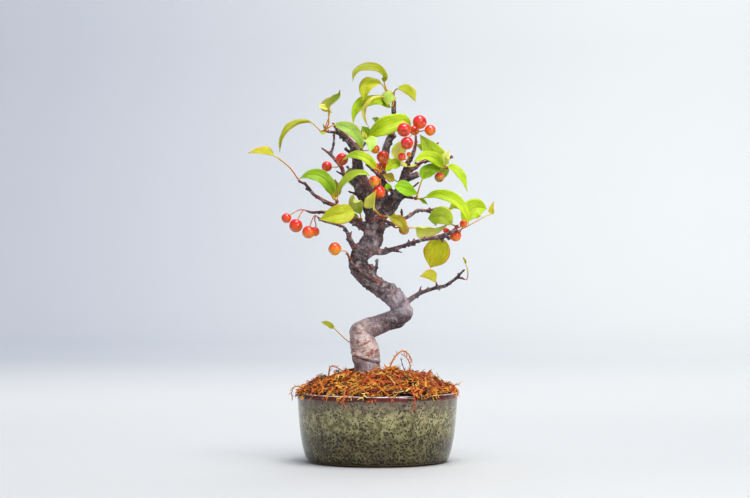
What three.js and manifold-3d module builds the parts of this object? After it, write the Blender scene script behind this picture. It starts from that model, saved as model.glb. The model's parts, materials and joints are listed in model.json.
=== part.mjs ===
// A crabapple bonsai in a round glazed pot. Millimetres, +Z up, +X to the right seen from the front,
// origin at the centre of the pot's underside.
import * as THREE from "three";
import { mergeVertices } from "three/addons/utils/BufferGeometryUtils.js";
import Module from "manifold-3d";

const wasm = await Module();
wasm.setup();

// ---------------------------------------------------------------- driving dimensions

const GAP = 0.3; // clear space between two pieces that touch on the real thing

// Pot: [radius, height] from the underside up the outside, over the lip and down the inside.
const POT_FLOOR = 5;
const POT_OUTSIDE = [
  [45.5, 0], [48.6, 3], [51, 11], [52.5, 22], [53.7, 37], [54.1, 45],
];
const POT_LIP = [
  [53.3, 46.8], [52, 46.9], [51, 46],
];
const POT_INSIDE = [
  [50.3, 42], [47.8, 14], [43, 5.3],
];
const POT_SIDES = 32;

const DRAIN_RADIUS = 5;
const DRAIN_OFFSET = 20; // each side of the middle, along X
const SCREEN_SIZE = 15;
const SCREEN_THICK = 0.8;
const SCREEN_HOLE = 3;
const SCREEN_PITCH = 4.2;

const SOIL_TOP = 42;

const TRUNK_LUMP = 0.035; // waves round the trunk, as a share of its radius
const LUMPY_SIDES = 7; // limbs with so many sides and over have those waves

// Moss: a mound from the soil up to the stem, spilling a little over the lip.
const MOSS_TOP = 61.5;
const MOSS_EDGE_RADIUS = 54.3;
const MOSS_EDGE_HEIGHT = 48.6;
const MOSS_LUMP = 1.5;
const MOSS_SIDES = 28;
const MOSS_SEED = 7;
const STRAND_RADIUS = 0.7;
const SHORT_STRANDS = 12;
const SHORT_STRAND_LENGTH = 7;

// Leaves and fruit.
const BLADE_THICK = 0.66;
const BLADE_FOLD = 0.25; // how far the two halves rise from the rib, in radians
const BLADE_BELLY = 0.42; // where along the rib the blade is widest
const BLADE_WAVE = 0.5; // height of the waves along the edge
const BLADE_TIP = 0.35; // half the width left at the tip
const WIDE_BLADE = 5.8; // blades of this half width and over get a finer grid
const STALK_RADIUS = 0.5;
const BUD_RADIUS = 1.5;
const BUD_REACH = 2; // from the end of a twig to the middle of the bud beyond it
const STALK_REACH = 1; // from the end of a twig to a lone stalk

// Fruit: [radius, height] on a fruit of radius 1, from the stalk's dimple to the calyx scar.
const FRUIT_PROFILE = [
  [0, -0.78], [0.58, -0.84], [1, -0.15], [0.86, 0.55], [0.34, 0.92], [0, 0.74],
];
const FRUIT_SIDES = 7;

// ---------------------------------------------------------------- the tree's own lines

// The tree is laid out on a front view from eye height, VIEW_DISTANCE away. A point is
// [across, down, depth]: squares to the right, squares downwards, and millimetres behind the stem.
const VIEW_DISTANCE = 1500;
const VIEW_SQUARE = 0.677; // millimetres a square spans at the stem
const VIEW_MIDDLE = { across: 375, down: 249, x: -1.7, z: 143.6 }; // where the eye looks straight

// Each limb has the points of its centre line from its parent outwards, each with a radius in mm.
const LIMBS = {
  trunk_foot: { sides: 10, line: [
    [371, 447, 0, 5], [369, 420, 0, 8], [368, 398, 0, 9.2], [367.5, 384, 0, 9.2],
    [367.5, 371, 0, 8.8], [367, 363, -1, 8.9], [366, 357, -1, 9.7], [365, 350, -2, 9.9],
    [361.5, 340, -3, 8.3], [360, 332, -3, 7],
  ] },
  trunk_waist: { sides: 9, line: [
    [360, 332, -3, 6.6], [366, 328.5, -2, 6.8], [374, 327, 0, 6.6], [387, 321.7, 3, 6.6],
    [396, 318.5, 5, 6.9], [402, 312, 5, 6.8],
  ] },
  trunk_back: { sides: 9, line: [
    [402, 313, 5, 6.6], [397.5, 301.5, 4, 6.8], [387.5, 292.7, 3, 6.8], [377.5, 286, 0, 6.2],
    [370, 281, -2, 6.1], [362, 273, -4, 6.3], [358.5, 264, -6, 6.5], [360, 254.5, -6, 6.4],
    [367, 248, -5, 6.7], [372.5, 240, -3, 6.9], [374.5, 231, 0, 6.9], [375.5, 222, 1, 7.1],
    [377, 212, 2, 7.6], [378, 204, 2, 6.6],
  ] },
  leader_left: { sides: 7, line: [
    [374, 213, 1, 5.8], [370, 205, 0, 6], [364, 193, -2, 5.7], [359, 180, -5, 4.7],
    [357.5, 168, -8, 3.9], [357, 158, -10, 3.6], [355, 149, -12, 3.1], [349, 141, -14, 2.7],
    [343, 134.5, -16, 2.2], [336, 128, -17, 1.5], [332.5, 122.5, -17, 0.9],
  ] },
  leader_centre: { sides: 7, line: [
    [378, 212, 3, 5.5], [382, 200, 6, 5], [380, 185, 9, 4], [382, 170, 12, 3.4], [385, 155, 14, 3.2],
    [387, 145, 15, 3], [391, 137, 16, 3], [394.5, 134, 15, 2.9],
  ] },
  apex: { sides: 5, line: [
    [388, 143, 15, 2], [391, 133, 15, 2], [394, 120, 14, 1.9], [394, 108, 12, 1.9],
    [394, 100.5, 10, 1.6],
  ] },
  leader_right: { sides: 7, line: [
    [380, 214, 1, 5.5], [388, 208, -1, 5.5], [395, 199, -4, 4.6], [401, 190, -5, 4],
    [404, 181, -6, 3.8], [405, 174, -7, 3], [408, 163, -8, 2.2], [413, 154, -9, 1.9],
    [415.5, 145, -9, 1.4], [416, 135, -9, 1],
  ] },
  cut_stub: { sides: 5, line: [[404, 179, -6, 2.8], [411, 177, -9, 2.8], [418.5, 174, -11, 2.6]] },
  twig_east: { sides: 4, line: [
    [409, 168, -7, 1.4], [418, 164, -5, 1.1], [430, 161, -3, 1], [440, 163, -2, 1],
    [444, 166, -2, 0.9],
  ] },
  twig_east_end: { sides: 4, line: [
    [436, 162, -2.5, 0.9], [444, 161, 0, 1], [451, 157, 2, 1.2], [452, 155, 2, 1.1],
  ] },
  twig_east_top: { sides: 4, line: [
    [432, 161, -3, 0.8], [435, 152, 0, 0.8], [436, 145, 2, 1.1], [439, 142, 3, 0.7],
  ] },
  branch_low: { sides: 5, line: [
    [402, 306, 5, 2.6], [411, 299, 4, 2.2], [416, 295.5, 3, 2], [422, 292.5, 0, 1.7],
    [429, 290, -2, 1.6], [437, 287.5, -5, 1.7], [445, 286, -8, 1.6], [451, 282, -11, 1.4],
    [457, 277.5, -13, 1.4], [461, 273, -15, 1.1], [465, 269.5, -16, 0.8],
  ] },
  branch_low_stub: { sides: 4, line: [
    [456, 278, -13, 1.2], [460, 278, -13, 1], [465.5, 279.5, -12, 0.8],
  ] },
  branch_low_spur: { sides: 4, line: [[437, 288, -5, 1.3], [436.5, 283.5, -6, 0.9]] },
  branch_low_twig: { sides: 4, line: [[418, 294, 2, 1], [420, 290, 2.5, 0.8], [421.5, 285.5, 3, 0.7]] },
  branch_east: { sides: 6, line: [
    [372, 250, -6, 3.4], [383, 252, -8, 2.6], [390, 250, -10, 2.1], [400, 247, -13, 1.7],
    [410, 243.5, -16, 1.6], [420, 240.5, -19, 1.5], [430, 238.5, -21, 1.7], [440, 236.5, -23, 1.9],
    [450, 232.5, -24, 1.7], [458, 230.5, -25, 1.3],
  ] },
  branch_east_thorn: { sides: 4, line: [[392, 250.5, -11, 1.1], [402.5, 252.5, -13, 0.6]] },
  branch_east_stub: { sides: 4, line: [[442, 237, -23, 1.4], [443, 243, -23.5, 0.9]] },
  branch_east_spur: { sides: 4, line: [[451, 232.5, -24, 1.3], [455, 228.5, -23.5, 1]] },
  leaf_peg_east: { sides: 4, line: [[440, 237, -23, 1.2], [441, 239.5, -21.3, 0.9]] },
  twig_front: { sides: 5, line: [
    [374, 226, -4, 2.2], [381, 220.5, -9, 1.5], [388, 222, -12, 1.5], [392, 224.5, -14, 1.3],
    [394.5, 227, -15.8, 1.2],
  ] },
  twig_front_spur: { sides: 4, line: [[380, 221, -9, 1.2], [381.3, 218.8, -9.8, 1]] },
  branch_back: { sides: 5, line: [
    [377, 227, 4, 2.4], [386, 226, 9, 1.9], [395, 222, 12, 1.6], [403, 219, 15, 1.6],
    [410, 216, 18, 1.6], [418, 210, 20, 1.4], [425, 210.5, 21, 1.3], [433, 209.5, 22, 1.1],
    [443, 207.5, 23, 1.1], [450, 209, 23, 0.8],
  ] },
  branch_back_twig: { sides: 4, line: [
    [401.5, 219.5, 14.5, 1.2], [402, 213, 14, 1.1], [401.5, 208.5, 13.5, 0.9],
  ] },
  branch_back_run: { sides: 4, line: [
    [424, 210.5, 21, 1.2], [434, 213, 29, 1.1], [444, 213, 37, 0.9],
  ] },
  twig_bud: { sides: 5, line: [
    [396, 197, -4, 1.9], [403, 196.5, -6, 1.6], [408, 197, -8, 1.4], [413.5, 198, -9.5, 1.4],
  ] },
  twig_dark: { sides: 4, line: [[401, 191, -5, 1.2], [411, 188.5, -6, 0.9], [419, 182, -6, 0.9]] },
  twig_cross: { sides: 5, line: [
    [396, 199, -6, 2.2], [391, 190, -9, 1.7], [385, 182, -11, 1.4], [378, 175, -12, 1.3],
    [371, 168.5, -12.5, 1.1], [365.5, 164, -13, 1],
  ] },
  twig_cross_spur: { sides: 4, line: [[380, 176.5, -11.7, 1], [381.2, 174, -13, 0.9]] },
  branch_west: { sides: 6, line: [
    [369, 231, 0, 3.2], [360, 223, -4, 2.6], [352, 220, -7, 2.3], [345, 217.5, -9, 2],
    [338.5, 213, -11, 1.9], [335, 206, -13, 1.8], [328, 203, -14, 1.9], [320, 198.5, -15, 1.6],
    [312, 193, -16, 1.4], [309, 188, -17, 1.3], [305, 184, -17, 1.2], [300, 181.5, -18, 1.1],
    [298, 179, -18, 0.9],
  ] },
  branch_west_over: { sides: 4, line: [
    [367, 227, -4, 1.8], [360, 221, -8, 1.5], [353, 217.5, -10.5, 1.4], [348, 217, -12, 1.1],
  ] },
  branch_west_under: { sides: 4, line: [
    [368, 233, -4, 1.6], [361, 228, -6, 1.5], [353, 223, -9, 1.3], [345, 219, -10, 1.2],
  ] },
  branch_west_spur: { sides: 4, line: [[335.5, 207, -13, 1.4], [336.3, 203.8, -13.8, 1.1]] },
  branch_west_run: { sides: 4, line: [
    [345, 217.5, -9, 1.7], [335, 214.5, -5, 1.4], [320, 212, 0, 1.4], [312, 212.5, 2, 1.3],
    [306, 210.5, 4, 1],
  ] },
  branch_hook: { sides: 5, line: [
    [361, 251, -7, 3], [354.5, 247, -10, 2.5], [350, 240, -11, 2.2], [347, 232, -12, 1.5],
    [343.5, 227, -12, 1.2], [332, 223.5, -12, 1.1], [322, 220.5, -12, 1], [317.5, 217, -12, 1],
  ] },
  branch_hook_cut: { sides: 5, line: [[352, 243, -11, 1.9], [347, 238, -12.5, 1.8]] },
  branch_fork: { sides: 5, line: [
    [360, 187, -3, 2.8], [354, 183, -1, 2.2], [350, 180, 0, 1.9], [344, 175.5, 2, 1.8],
    [342, 168, 4, 1.8], [336, 160.5, 6, 1.6], [330, 154, 8, 1.4], [321, 147.5, 10, 0.8],
  ] },
  branch_fork_up: { sides: 4, line: [
    [330.5, 154.5, 7.5, 1.3], [333.5, 145, 8, 1.2], [334.3, 132.8, 8, 1.1],
  ] },
  branch_fork_stub: { sides: 4, line: [[345, 176, 2, 1.1], [336, 171, 0, 0.8]] },
  leader_left_stub_middle: { sides: 4, line: [[353, 154, -11, 1.6], [344, 148.5, -10, 1.1]] },
  leader_left_stub_low: { sides: 4, line: [[361, 196, -3, 1.4], [348, 191, -6, 0.8]] },
  leader_left_stub_top: { sides: 4, line: [[348, 139, -15, 1.5], [339, 136.5, -14, 1]] },
  tip_west: { sides: 4, line: [
    [344, 135.5, -16, 1.6], [335, 132.5, -18, 1.4], [329, 131.8, -19, 1.3], [327, 131.5, -19.3, 1.2],
  ] },
  peg_upper: { sides: 4, line: [[357, 156, -10, 1.5], [362, 148, -9, 1], [366, 142.5, -8, 0.9]] },
  peg_inner: { sides: 4, line: [[408, 167, -8, 1.4], [406, 166.2, -10.6, 0.9]] },
  peg_fork: { sides: 4, line: [[341, 167.5, 4.2, 1.4], [340.3, 167, 2.4, 0.9]] },
  twig_wrap: { sides: 4, line: [
    [378, 284, -2, 1.6], [373, 280.5, -8, 1.2], [367, 276, -10.5, 1], [360, 270.5, -12.5, 1],
    [353, 264, -14, 0.9], [350, 258, -15, 0.8],
  ] },
  knob: { sides: 5, line: [[374, 277, -3, 2.6], [372, 269, -5, 2], [371, 264, -6, 1.9]] },
  knob_twig: { sides: 4, line: [
    [374.5, 274, -3, 1.7], [376.5, 266, -5, 1.2], [377.5, 258.5, -6, 1.2],
  ] },
  rear_low: { sides: 6, line: [
    [362, 258, -2, 3.4], [365, 254, 8, 2.6], [370, 246, 18, 2.1], [374, 236, 27, 1.6],
    [373, 225, 35, 1.3], [370, 218, 41, 1],
  ] },
  rear_low_twig: { sides: 4, line: [[372, 240, 23, 1.4], [378, 233, 27, 1.1], [381, 226, 33, 0.9]] },
  rear_mid: { sides: 6, line: [
    [380, 203, 5, 3.2], [378, 197, 15, 2.3], [372, 188, 24, 1.7], [366, 177, 31, 1.3],
    [362, 168, 36, 1],
  ] },
  rear_mid_twig: { sides: 4, line: [[373.5, 190, 22, 1.5], [380, 184, 29, 1.1], [383, 176, 34, 0.9]] },
  rear_east: { sides: 5, line: [
    [406, 172, -5, 2], [415, 168, 6, 1.7], [423, 160, 16, 1.4], [427, 153.5, 25, 1.2],
    [427, 148.5, 31, 0.9],
  ] },
  rear_east_twig: { sides: 4, line: [[423.5, 159, 17, 1.2], [431, 160, 25, 1], [434, 164, 31, 0.9]] },
  rear_top: { sides: 4, line: [[393.5, 125, 13, 1.6], [389.5, 123, 20, 1.3], [384.5, 122, 28, 1]] },
  rear_west: { sides: 4, line: [[336, 214.5, -5.5, 1.3], [334, 219, 6, 1.2], [331, 217, 17, 1]] },
};

// Each spray sits on the end of a limb or has a root of its own. A leaf has the points of its
// stalk and of its rib, half its width in mm and the way its upper side looks.
const SPRAYS = [
  {
    name: "leaves_crown", on: "apex",
    leaves: [
      {
        stalk: [[388, 92, 5], [385.5, 87, 2]],
        rib: [
          [384.3, 82, 1], [384.2, 75.5, -1], [378.5, 69.5, -4], [370, 67, -7], [361, 68.5, -9],
          [354.5, 73, -11], [352.8, 81, -12],
        ],
        half: 3.9, face: [0.1, -0.75, 0.65],
      },
      {
        stalk: [[387, 93, 4], [384, 87, 1]],
        rib: [[380.5, 83, 0], [373, 82.5, -4], [367, 86, -7], [364.5, 93, -9], [364, 101, -10]],
        half: 5.4, face: [-0.2, -0.85, 0.5],
      },
      {
        stalk: [[393, 105, 4]],
        rib: [
          [390.5, 107, 2], [381, 101, -1], [370, 101.5, -4], [361, 104.5, -6], [355, 111.5, -7],
          [352.8, 124, -8],
        ],
        half: 5.0, face: [0.1, -0.8, 0.6],
      },
      {
        stalk: [[389, 96, 3]],
        rib: [
          [382, 96.8, -4], [374, 97.5, -10], [368.5, 102, -12], [364, 111, -12], [365, 120, -12],
          [368.9, 127.4, -11],
        ],
        half: 1.7, face: [0, -0.6, 0.8],
      },
      { rib: [[392, 92.5, 3], [389, 96.5, -2], [387.5, 105, -6]], half: 5.2, face: [0.15, 0.95, 0.1] },
      {
        stalk: [[394.5, 91.5, 7]], rib: [[398.2, 88.4, 4], [407, 94, 1], [415.6, 101.4, -2]],
        half: 6.4, face: [0.42, 0.7, 0.57], fold: 0.785, belly: 0.47,
      },
    ],
  },
  {
    name: "leaves_tip_west", on: "tip_west",
    leaves: [
      {
        stalk: [[328.5, 124, -20], [328.7, 118, -20]],
        rib: [
          [328.7, 112, -20], [329, 106.5, -22], [334, 101, -25], [339, 95.5, -27], [340, 89.5, -28],
        ],
        half: 5.2, face: [-0.3, -0.8, 0.5], fold: 0.5, belly: 0.22,
      },
      {
        stalk: [[321, 131, -20], [316, 126.5, -20]],
        rib: [[311, 122.4, -20], [299, 123.5, -23], [289, 130, -26], [282, 140, -28], [279.6, 152, -29]],
        half: 3.6, face: [-0.25, -0.6, 0.75], fold: 0.8,
      },
      {
        stalk: [[330.5, 126.5, -22]],
        rib: [[335, 125, -21], [344, 126.8, -23.5], [352.5, 131.8, -25], [359, 140, -25], [363, 150.8, -24]],
        half: 5.0, face: [0.2, -0.85, 0.45],
      },
    ],
  },
  {
    name: "leaves_upper", on: "peg_upper",
    leaves: [
      {
        stalk: [[366.5, 138.5, -8]],
        rib: [
          [370, 135.3, -8], [381, 128.5, -11], [393, 124, -10.5], [404, 120.5, -9],
          [411.5, 127.5, -8],
        ],
        half: 6.9, face: [0.1, -0.92, 0.35],
      },
      {
        rib: [[366.8, 139, -10], [371, 142, -15], [370.3, 152, -18]],
        half: 4.3, face: [0.1, -0.85, 0.5],
      },
      { rib: [[366, 138, -5], [365, 131.5, -4], [362, 126, -4]], half: 4.0, face: [0.1, -0.9, 0.3] },
      {
        rib: [[366, 139.5, -9.5], [364.5, 135.5, -12], [362, 130.5, -13]],
        half: 1.8, face: [-0.3, -0.9, 0.3],
      },
    ],
  },
  {
    name: "leaves_cross", on: "twig_cross_spur",
    leaves: [
      {
        stalk: [[379.5, 170.5, -15]],
        rib: [[376, 168.5, -16], [370, 161.5, -18], [362, 156.5, -19], [352, 155.3, -20], [342, 160.4, -21]],
        half: 3.7, face: [-0.1, -0.85, 0.5],
      },
    ],
  },
  {
    name: "leaves_west", on: "branch_west_spur",
    leaves: [
      {
        stalk: [[333, 198.5, -16]],
        rib: [
          [332, 194, -17], [328.5, 184.5, -20], [320, 176.8, -22], [309.5, 175, -22],
          [299.5, 178.5, -21],
        ],
        half: 5.3, face: [0.05, -0.88, 0.5],
      },
      {
        stalk: [[337.5, 198, -15]],
        rib: [
          [338.5, 193, -16], [342, 184, -18], [349.5, 176.8, -20], [357.5, 173, -21],
          [364.5, 173, -22], [370.5, 176.3, -22],
        ],
        half: 3.1, face: [-0.2, -0.85, 0.5],
      },
      {
        rib: [[335, 198, -14], [334.5, 188, -12.5], [335, 179, -11]],
        half: 4.7, face: [0.2, -0.95, 0.2],
      },
    ],
  },
  {
    name: "leaf_far_west", on: "branch_west",
    leaves: [
      {
        stalk: [[291, 169, -19], [282, 161, -21]],
        rib: [[273.1, 155.2, -22], [262, 153.3, -23], [248, 152.7, -25]],
        half: 4.8, face: [0, 0.7, 0.7], fold: 0.785, belly: 0.4,
      },
    ],
  },
  {
    name: "leaf_broad_west", on: "branch_west_over",
    leaves: [
      {
        stalk: [[350.5, 213, -15.5]],
        rib: [[352, 209.3, -18.5], [343, 214.3, -22], [332, 216, -23], [319, 219.8, -23]],
        half: 7.3, face: [0, -0.95, 0.25], belly: 0.4,
      },
    ],
  },
  {
    name: "leaf_folded_west", root: [361, 219.3, -10.2],
    leaves: [
      {
        rib: [[360.3, 214, -13], [357.5, 206.5, -15], [355, 199.5, -18], [354, 197.3, -22]],
        half: 4.8, face: [-0.3, -0.9, 0.25], belly: 0.5,
      },
    ],
  },
  {
    name: "leaves_front", on: "twig_front_spur",
    leaves: [
      {
        stalk: [[378, 213.5, -14]], rib: [[374, 207.6, -17], [374.5, 199, -19], [376.2, 190, -20.5]],
        half: 7.2, face: [-0.7, -0.7, 0], fold: 0.785, belly: 0.2,
      },
      {
        stalk: [[385, 216, -13]],
        rib: [[389.5, 216.8, -14], [396, 219.5, -17], [402, 224, -18.5], [404.5, 234.5, -19]],
        half: 4.0, face: [0, -0.95, 0.2], belly: 0.5,
      },
    ],
  },
  {
    name: "leaf_front_east", on: "twig_front",
    leaves: [
      {
        stalk: [[400, 227.3, -14.5], [408, 227.8, -13]],
        rib: [[416, 227.6, -12], [427, 227.6, -12], [438, 228, -13], [449, 223.5, -15]],
        half: 7.4, face: [0, -0.7, -0.7], fold: 0.785, belly: 0.18,
      },
    ],
  },
  {
    name: "leaves_bend_east", on: "branch_east_spur",
    leaves: [
      {
        rib: [[452, 224.5, -19], [441, 217, -11], [428, 218.6, -6]],
        half: 7.3, face: [0.1, -0.95, 0.2], belly: 0.5,
      },
      {
        stalk: [[459.5, 227.5, -19]],
        rib: [[463, 222.5, -17], [470, 212.5, -15], [478, 207.8, -13.5], [487, 209, -12.5]],
        half: 7.4, face: [-0.1, -0.95, 0.25], belly: 0.5,
      },
    ],
  },
  {
    name: "leaf_long_east", on: "branch_east",
    leaves: [
      {
        stalk: [[467, 226.5, -28], [477, 221, -29], [486, 216, -30]],
        rib: [[491, 213.8, -30], [491.8, 208.5, -30], [493.7, 201, -30]],
        half: 2.1, face: [-0.3, -0.9, 0.2], belly: 0.25,
      },
    ],
  },
  {
    name: "leaf_round_east", on: "leaf_peg_east",
    leaves: [
      {
        rib: [[440.5, 237, -18], [437, 251, -15.5], [430.5, 267.8, -12]],
        half: 9.3, face: [0.05, -0.97, 0.2], belly: 0.45,
      },
    ],
  },
  {
    name: "leaf_low_branch", on: "branch_low_spur",
    leaves: [
      {
        rib: [[435.3, 281.6, -9], [428.5, 278.5, -11], [420, 276.3, -13]],
        half: 6.6, face: [0.25, 0.7, 0.66], fold: 0.785, belly: 0.44,
      },
    ],
  },
  {
    name: "leaf_low_tip", on: "branch_low_stub",
    leaves: [
      {
        stalk: [[468, 274, -13.8], [467.2, 268, -13.8]],
        rib: [[466, 264, -13.5], [465, 260.5, -14], [463, 257, -14]],
        half: 0.9, face: [-0.4, -0.9, 0.1],
      },
    ],
  },
  {
    name: "leaf_trunk", root: [348.8, 342, -3.5],
    leaves: [
      {
        stalk: [[343, 337, -6]], rib: [[334, 328.5, -8], [328, 324.5, -9.5], [321, 322, -11]],
        half: 2.3, face: [-0.1, -0.8, 0.6],
      },
    ],
  },
  {
    name: "leaves_bud_east", on: "twig_bud",
    leaves: [
      {
        rib: [[417.5, 194.8, -13], [410.5, 191.5, -15], [402.5, 187.8, -17], [394, 186.8, -18.5]],
        half: 5.4, face: [0.1, -0.92, 0.35], belly: 0.6,
      },
      { rib: [[419.5, 198.5, -12], [423, 201, -14], [427.6, 204.6, -15]], half: 1.6, face: [0, -0.8, 0.6] },
      {
        stalk: [[418.5, 190.5, -13], [420.5, 184, -14]],
        rib: [[422.5, 179, -13], [426, 173, -11], [433, 169.3, -9], [442.5, 170.3, -7]],
        half: 4.9, face: [0.1, -0.9, 0.4],
      },
      {
        stalk: [[420.5, 199, -13]],
        rib: [
          [426, 197.2, -16], [436, 194.3, -19], [446, 196, -22.5], [455, 200.3, -25.5],
          [462.5, 207.5, -28], [467, 216, -29.5], [468.3, 225, -30],
        ],
        half: 4.5, face: [0.2, -0.88, 0.45],
      },
    ],
  },
  {
    name: "leaves_far_east", on: "twig_east",
    leaves: [
      {
        rib: [[445, 164.5, -5], [436.5, 156.5, -6.5], [427.5, 146.5, -8], [420, 134.5, -9]],
        half: 6.7, face: [0.15, -0.93, 0.3],
      },
      {
        rib: [[443.5, 166.8, -8], [434, 158.5, -13], [424, 156.5, -16], [413.5, 162.5, -18]],
        half: 4.5, face: [-0.1, -0.85, 0.5],
      },
      {
        rib: [[448, 166.2, -3.5], [455, 169, -7], [462, 177.5, -10], [467.3, 191.5, -12]],
        half: 3.7, face: [0.3, -0.8, 0.5],
      },
      {
        rib: [[445.5, 164.5, -7], [445.5, 158, -11], [449.5, 150.3, -12]],
        half: 3.4, face: [-0.2, -0.95, 0.2],
      },
    ],
  },
  {
    name: "leaves_inner", on: "peg_inner",
    leaves: [
      {
        stalk: [[401, 163, -12]], rib: [[397, 158.5, -12], [399.5, 149.5, -11.5], [407.5, 139, -10.5]],
        half: 5.0, face: [0.1, -0.95, 0.25],
      },
      { rib: [[400.5, 165, -13], [393, 164.5, -14.5], [385, 171.5, -15]], half: 3.9, face: [0, -0.9, 0.4] },
    ],
  },
  {
    name: "leaf_inner_low", root: [397, 181.5, -8.5],
    leaves: [
      {
        rib: [[394.3, 179.6, -11.5], [389, 177.3, -13.5], [382.5, 174.5, -13.5]],
        half: 3.4, face: [0.1, -0.9, 0.4],
      },
    ],
  },
  {
    name: "leaf_inner_small", root: [388.8, 191.6, -11.3],
    leaves: [
      {
        rib: [[388, 189.5, -13.5], [387.8, 186.5, -14], [386.8, 183, -14]],
        half: 2.6, face: [0.1, -0.9, 0.3],
      },
    ],
  },
  {
    name: "leaves_rear_low", on: "rear_low",
    leaves: [
      {
        stalk: [[368, 212, 44]], rib: [[367, 208, 45], [368, 199, 47], [374, 192, 45]],
        half: 5.5, face: [0.1, 0.8, 0.6],
      },
      {
        stalk: [[373, 214, 46]], rib: [[377, 212, 49], [386, 210, 53], [396, 216, 54]],
        half: 5.5, face: [0.1, 0.6, 0.8],
      },
      {
        stalk: [[370, 220, 46]], rib: [[370, 224, 49], [372, 232, 53], [374, 243, 52]],
        half: 5.2, face: [0.1, 0.9, 0.3],
      },
    ],
  },
  {
    name: "leaves_rear_low_side", on: "rear_low_twig",
    leaves: [
      { rib: [[384, 221, 35], [389, 215, 37], [395, 212, 36]], half: 4.5, face: [0.2, 0.3, 0.9] },
      {
        stalk: [[376, 222, 30]], rib: [[371, 219, 25], [366.5, 213, 20], [366, 204, 17]],
        half: 4.5, face: [0.2, -0.6, 0.7],
      },
    ],
  },
  {
    name: "leaves_rear_mid", on: "rear_mid",
    leaves: [
      {
        stalk: [[360, 163, 39]], rib: [[360, 160, 40], [356, 152, 41], [357, 141, 38]],
        half: 5.0, face: [-0.2, 0.8, 0.5],
      },
      {
        stalk: [[358, 167, 40]], rib: [[355, 169, 42], [352, 176, 45], [353, 187, 45]],
        half: 5.0, face: [-0.1, 0.9, 0.4],
      },
    ],
  },
  {
    name: "leaves_rear_mid_side", on: "rear_mid_twig",
    leaves: [
      { rib: [[385, 171, 36], [386, 163, 38], [384, 154, 36]], half: 4.8, face: [0.1, 0.9, 0.4] },
    ],
  },
  {
    name: "leaves_rear_east", on: "rear_east",
    leaves: [
      { rib: [[428, 147, 34], [430, 149.5, 41], [432, 156, 46]], half: 4.2, face: [0.1, 0.5, 0.85] },
      { rib: [[426, 147, 34], [422, 146, 41], [421.5, 151, 48]], half: 4.0, face: [0, 0.4, 0.9] },
    ],
  },
  {
    name: "leaves_rear_east_side", on: "rear_east_twig",
    leaves: [
      { rib: [[441, 167, 35], [442, 172, 41], [440, 181, 44]], half: 5.0, face: [0.2, 0.8, 0.5] },
      { rib: [[436, 167, 33], [430, 171, 33], [424, 178, 31]], half: 4.6, face: [-0.1, 0.6, 0.8] },
    ],
  },
  {
    name: "leaves_rear_top", on: "rear_top",
    leaves: [
      { rib: [[382, 120, 33], [378.5, 120, 41], [377, 124, 49]], half: 4.6, face: [0, 0.4, 0.9] },
      { rib: [[386, 119.5, 34], [390.5, 119, 41], [394, 123, 48]], half: 4.6, face: [-0.1, 0.4, 0.9] },
    ],
  },
  {
    name: "leaves_rear_west", on: "rear_west",
    leaves: [
      { rib: [[329, 214, 21], [328, 211, 28], [330, 216, 35]], half: 5.2, face: [-0.1, 0.4, 0.9] },
      { rib: [[333, 214, 19], [341, 211, 22], [346, 218, 26]], half: 4.6, face: [0.2, 0.4, 0.9] },
    ],
  },
  {
    name: "leaves_rear_branch", on: "branch_back_run",
    leaves: [
      { rib: [[448, 211, 40], [456, 207, 42], [464, 212, 43]], half: 5.4, face: [0.2, 0.4, 0.9] },
      { rib: [[445, 214, 41], [442, 216, 48], [440, 224, 54]], half: 5.4, face: [0, 0.7, 0.7] },
    ],
  },
];

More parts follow.
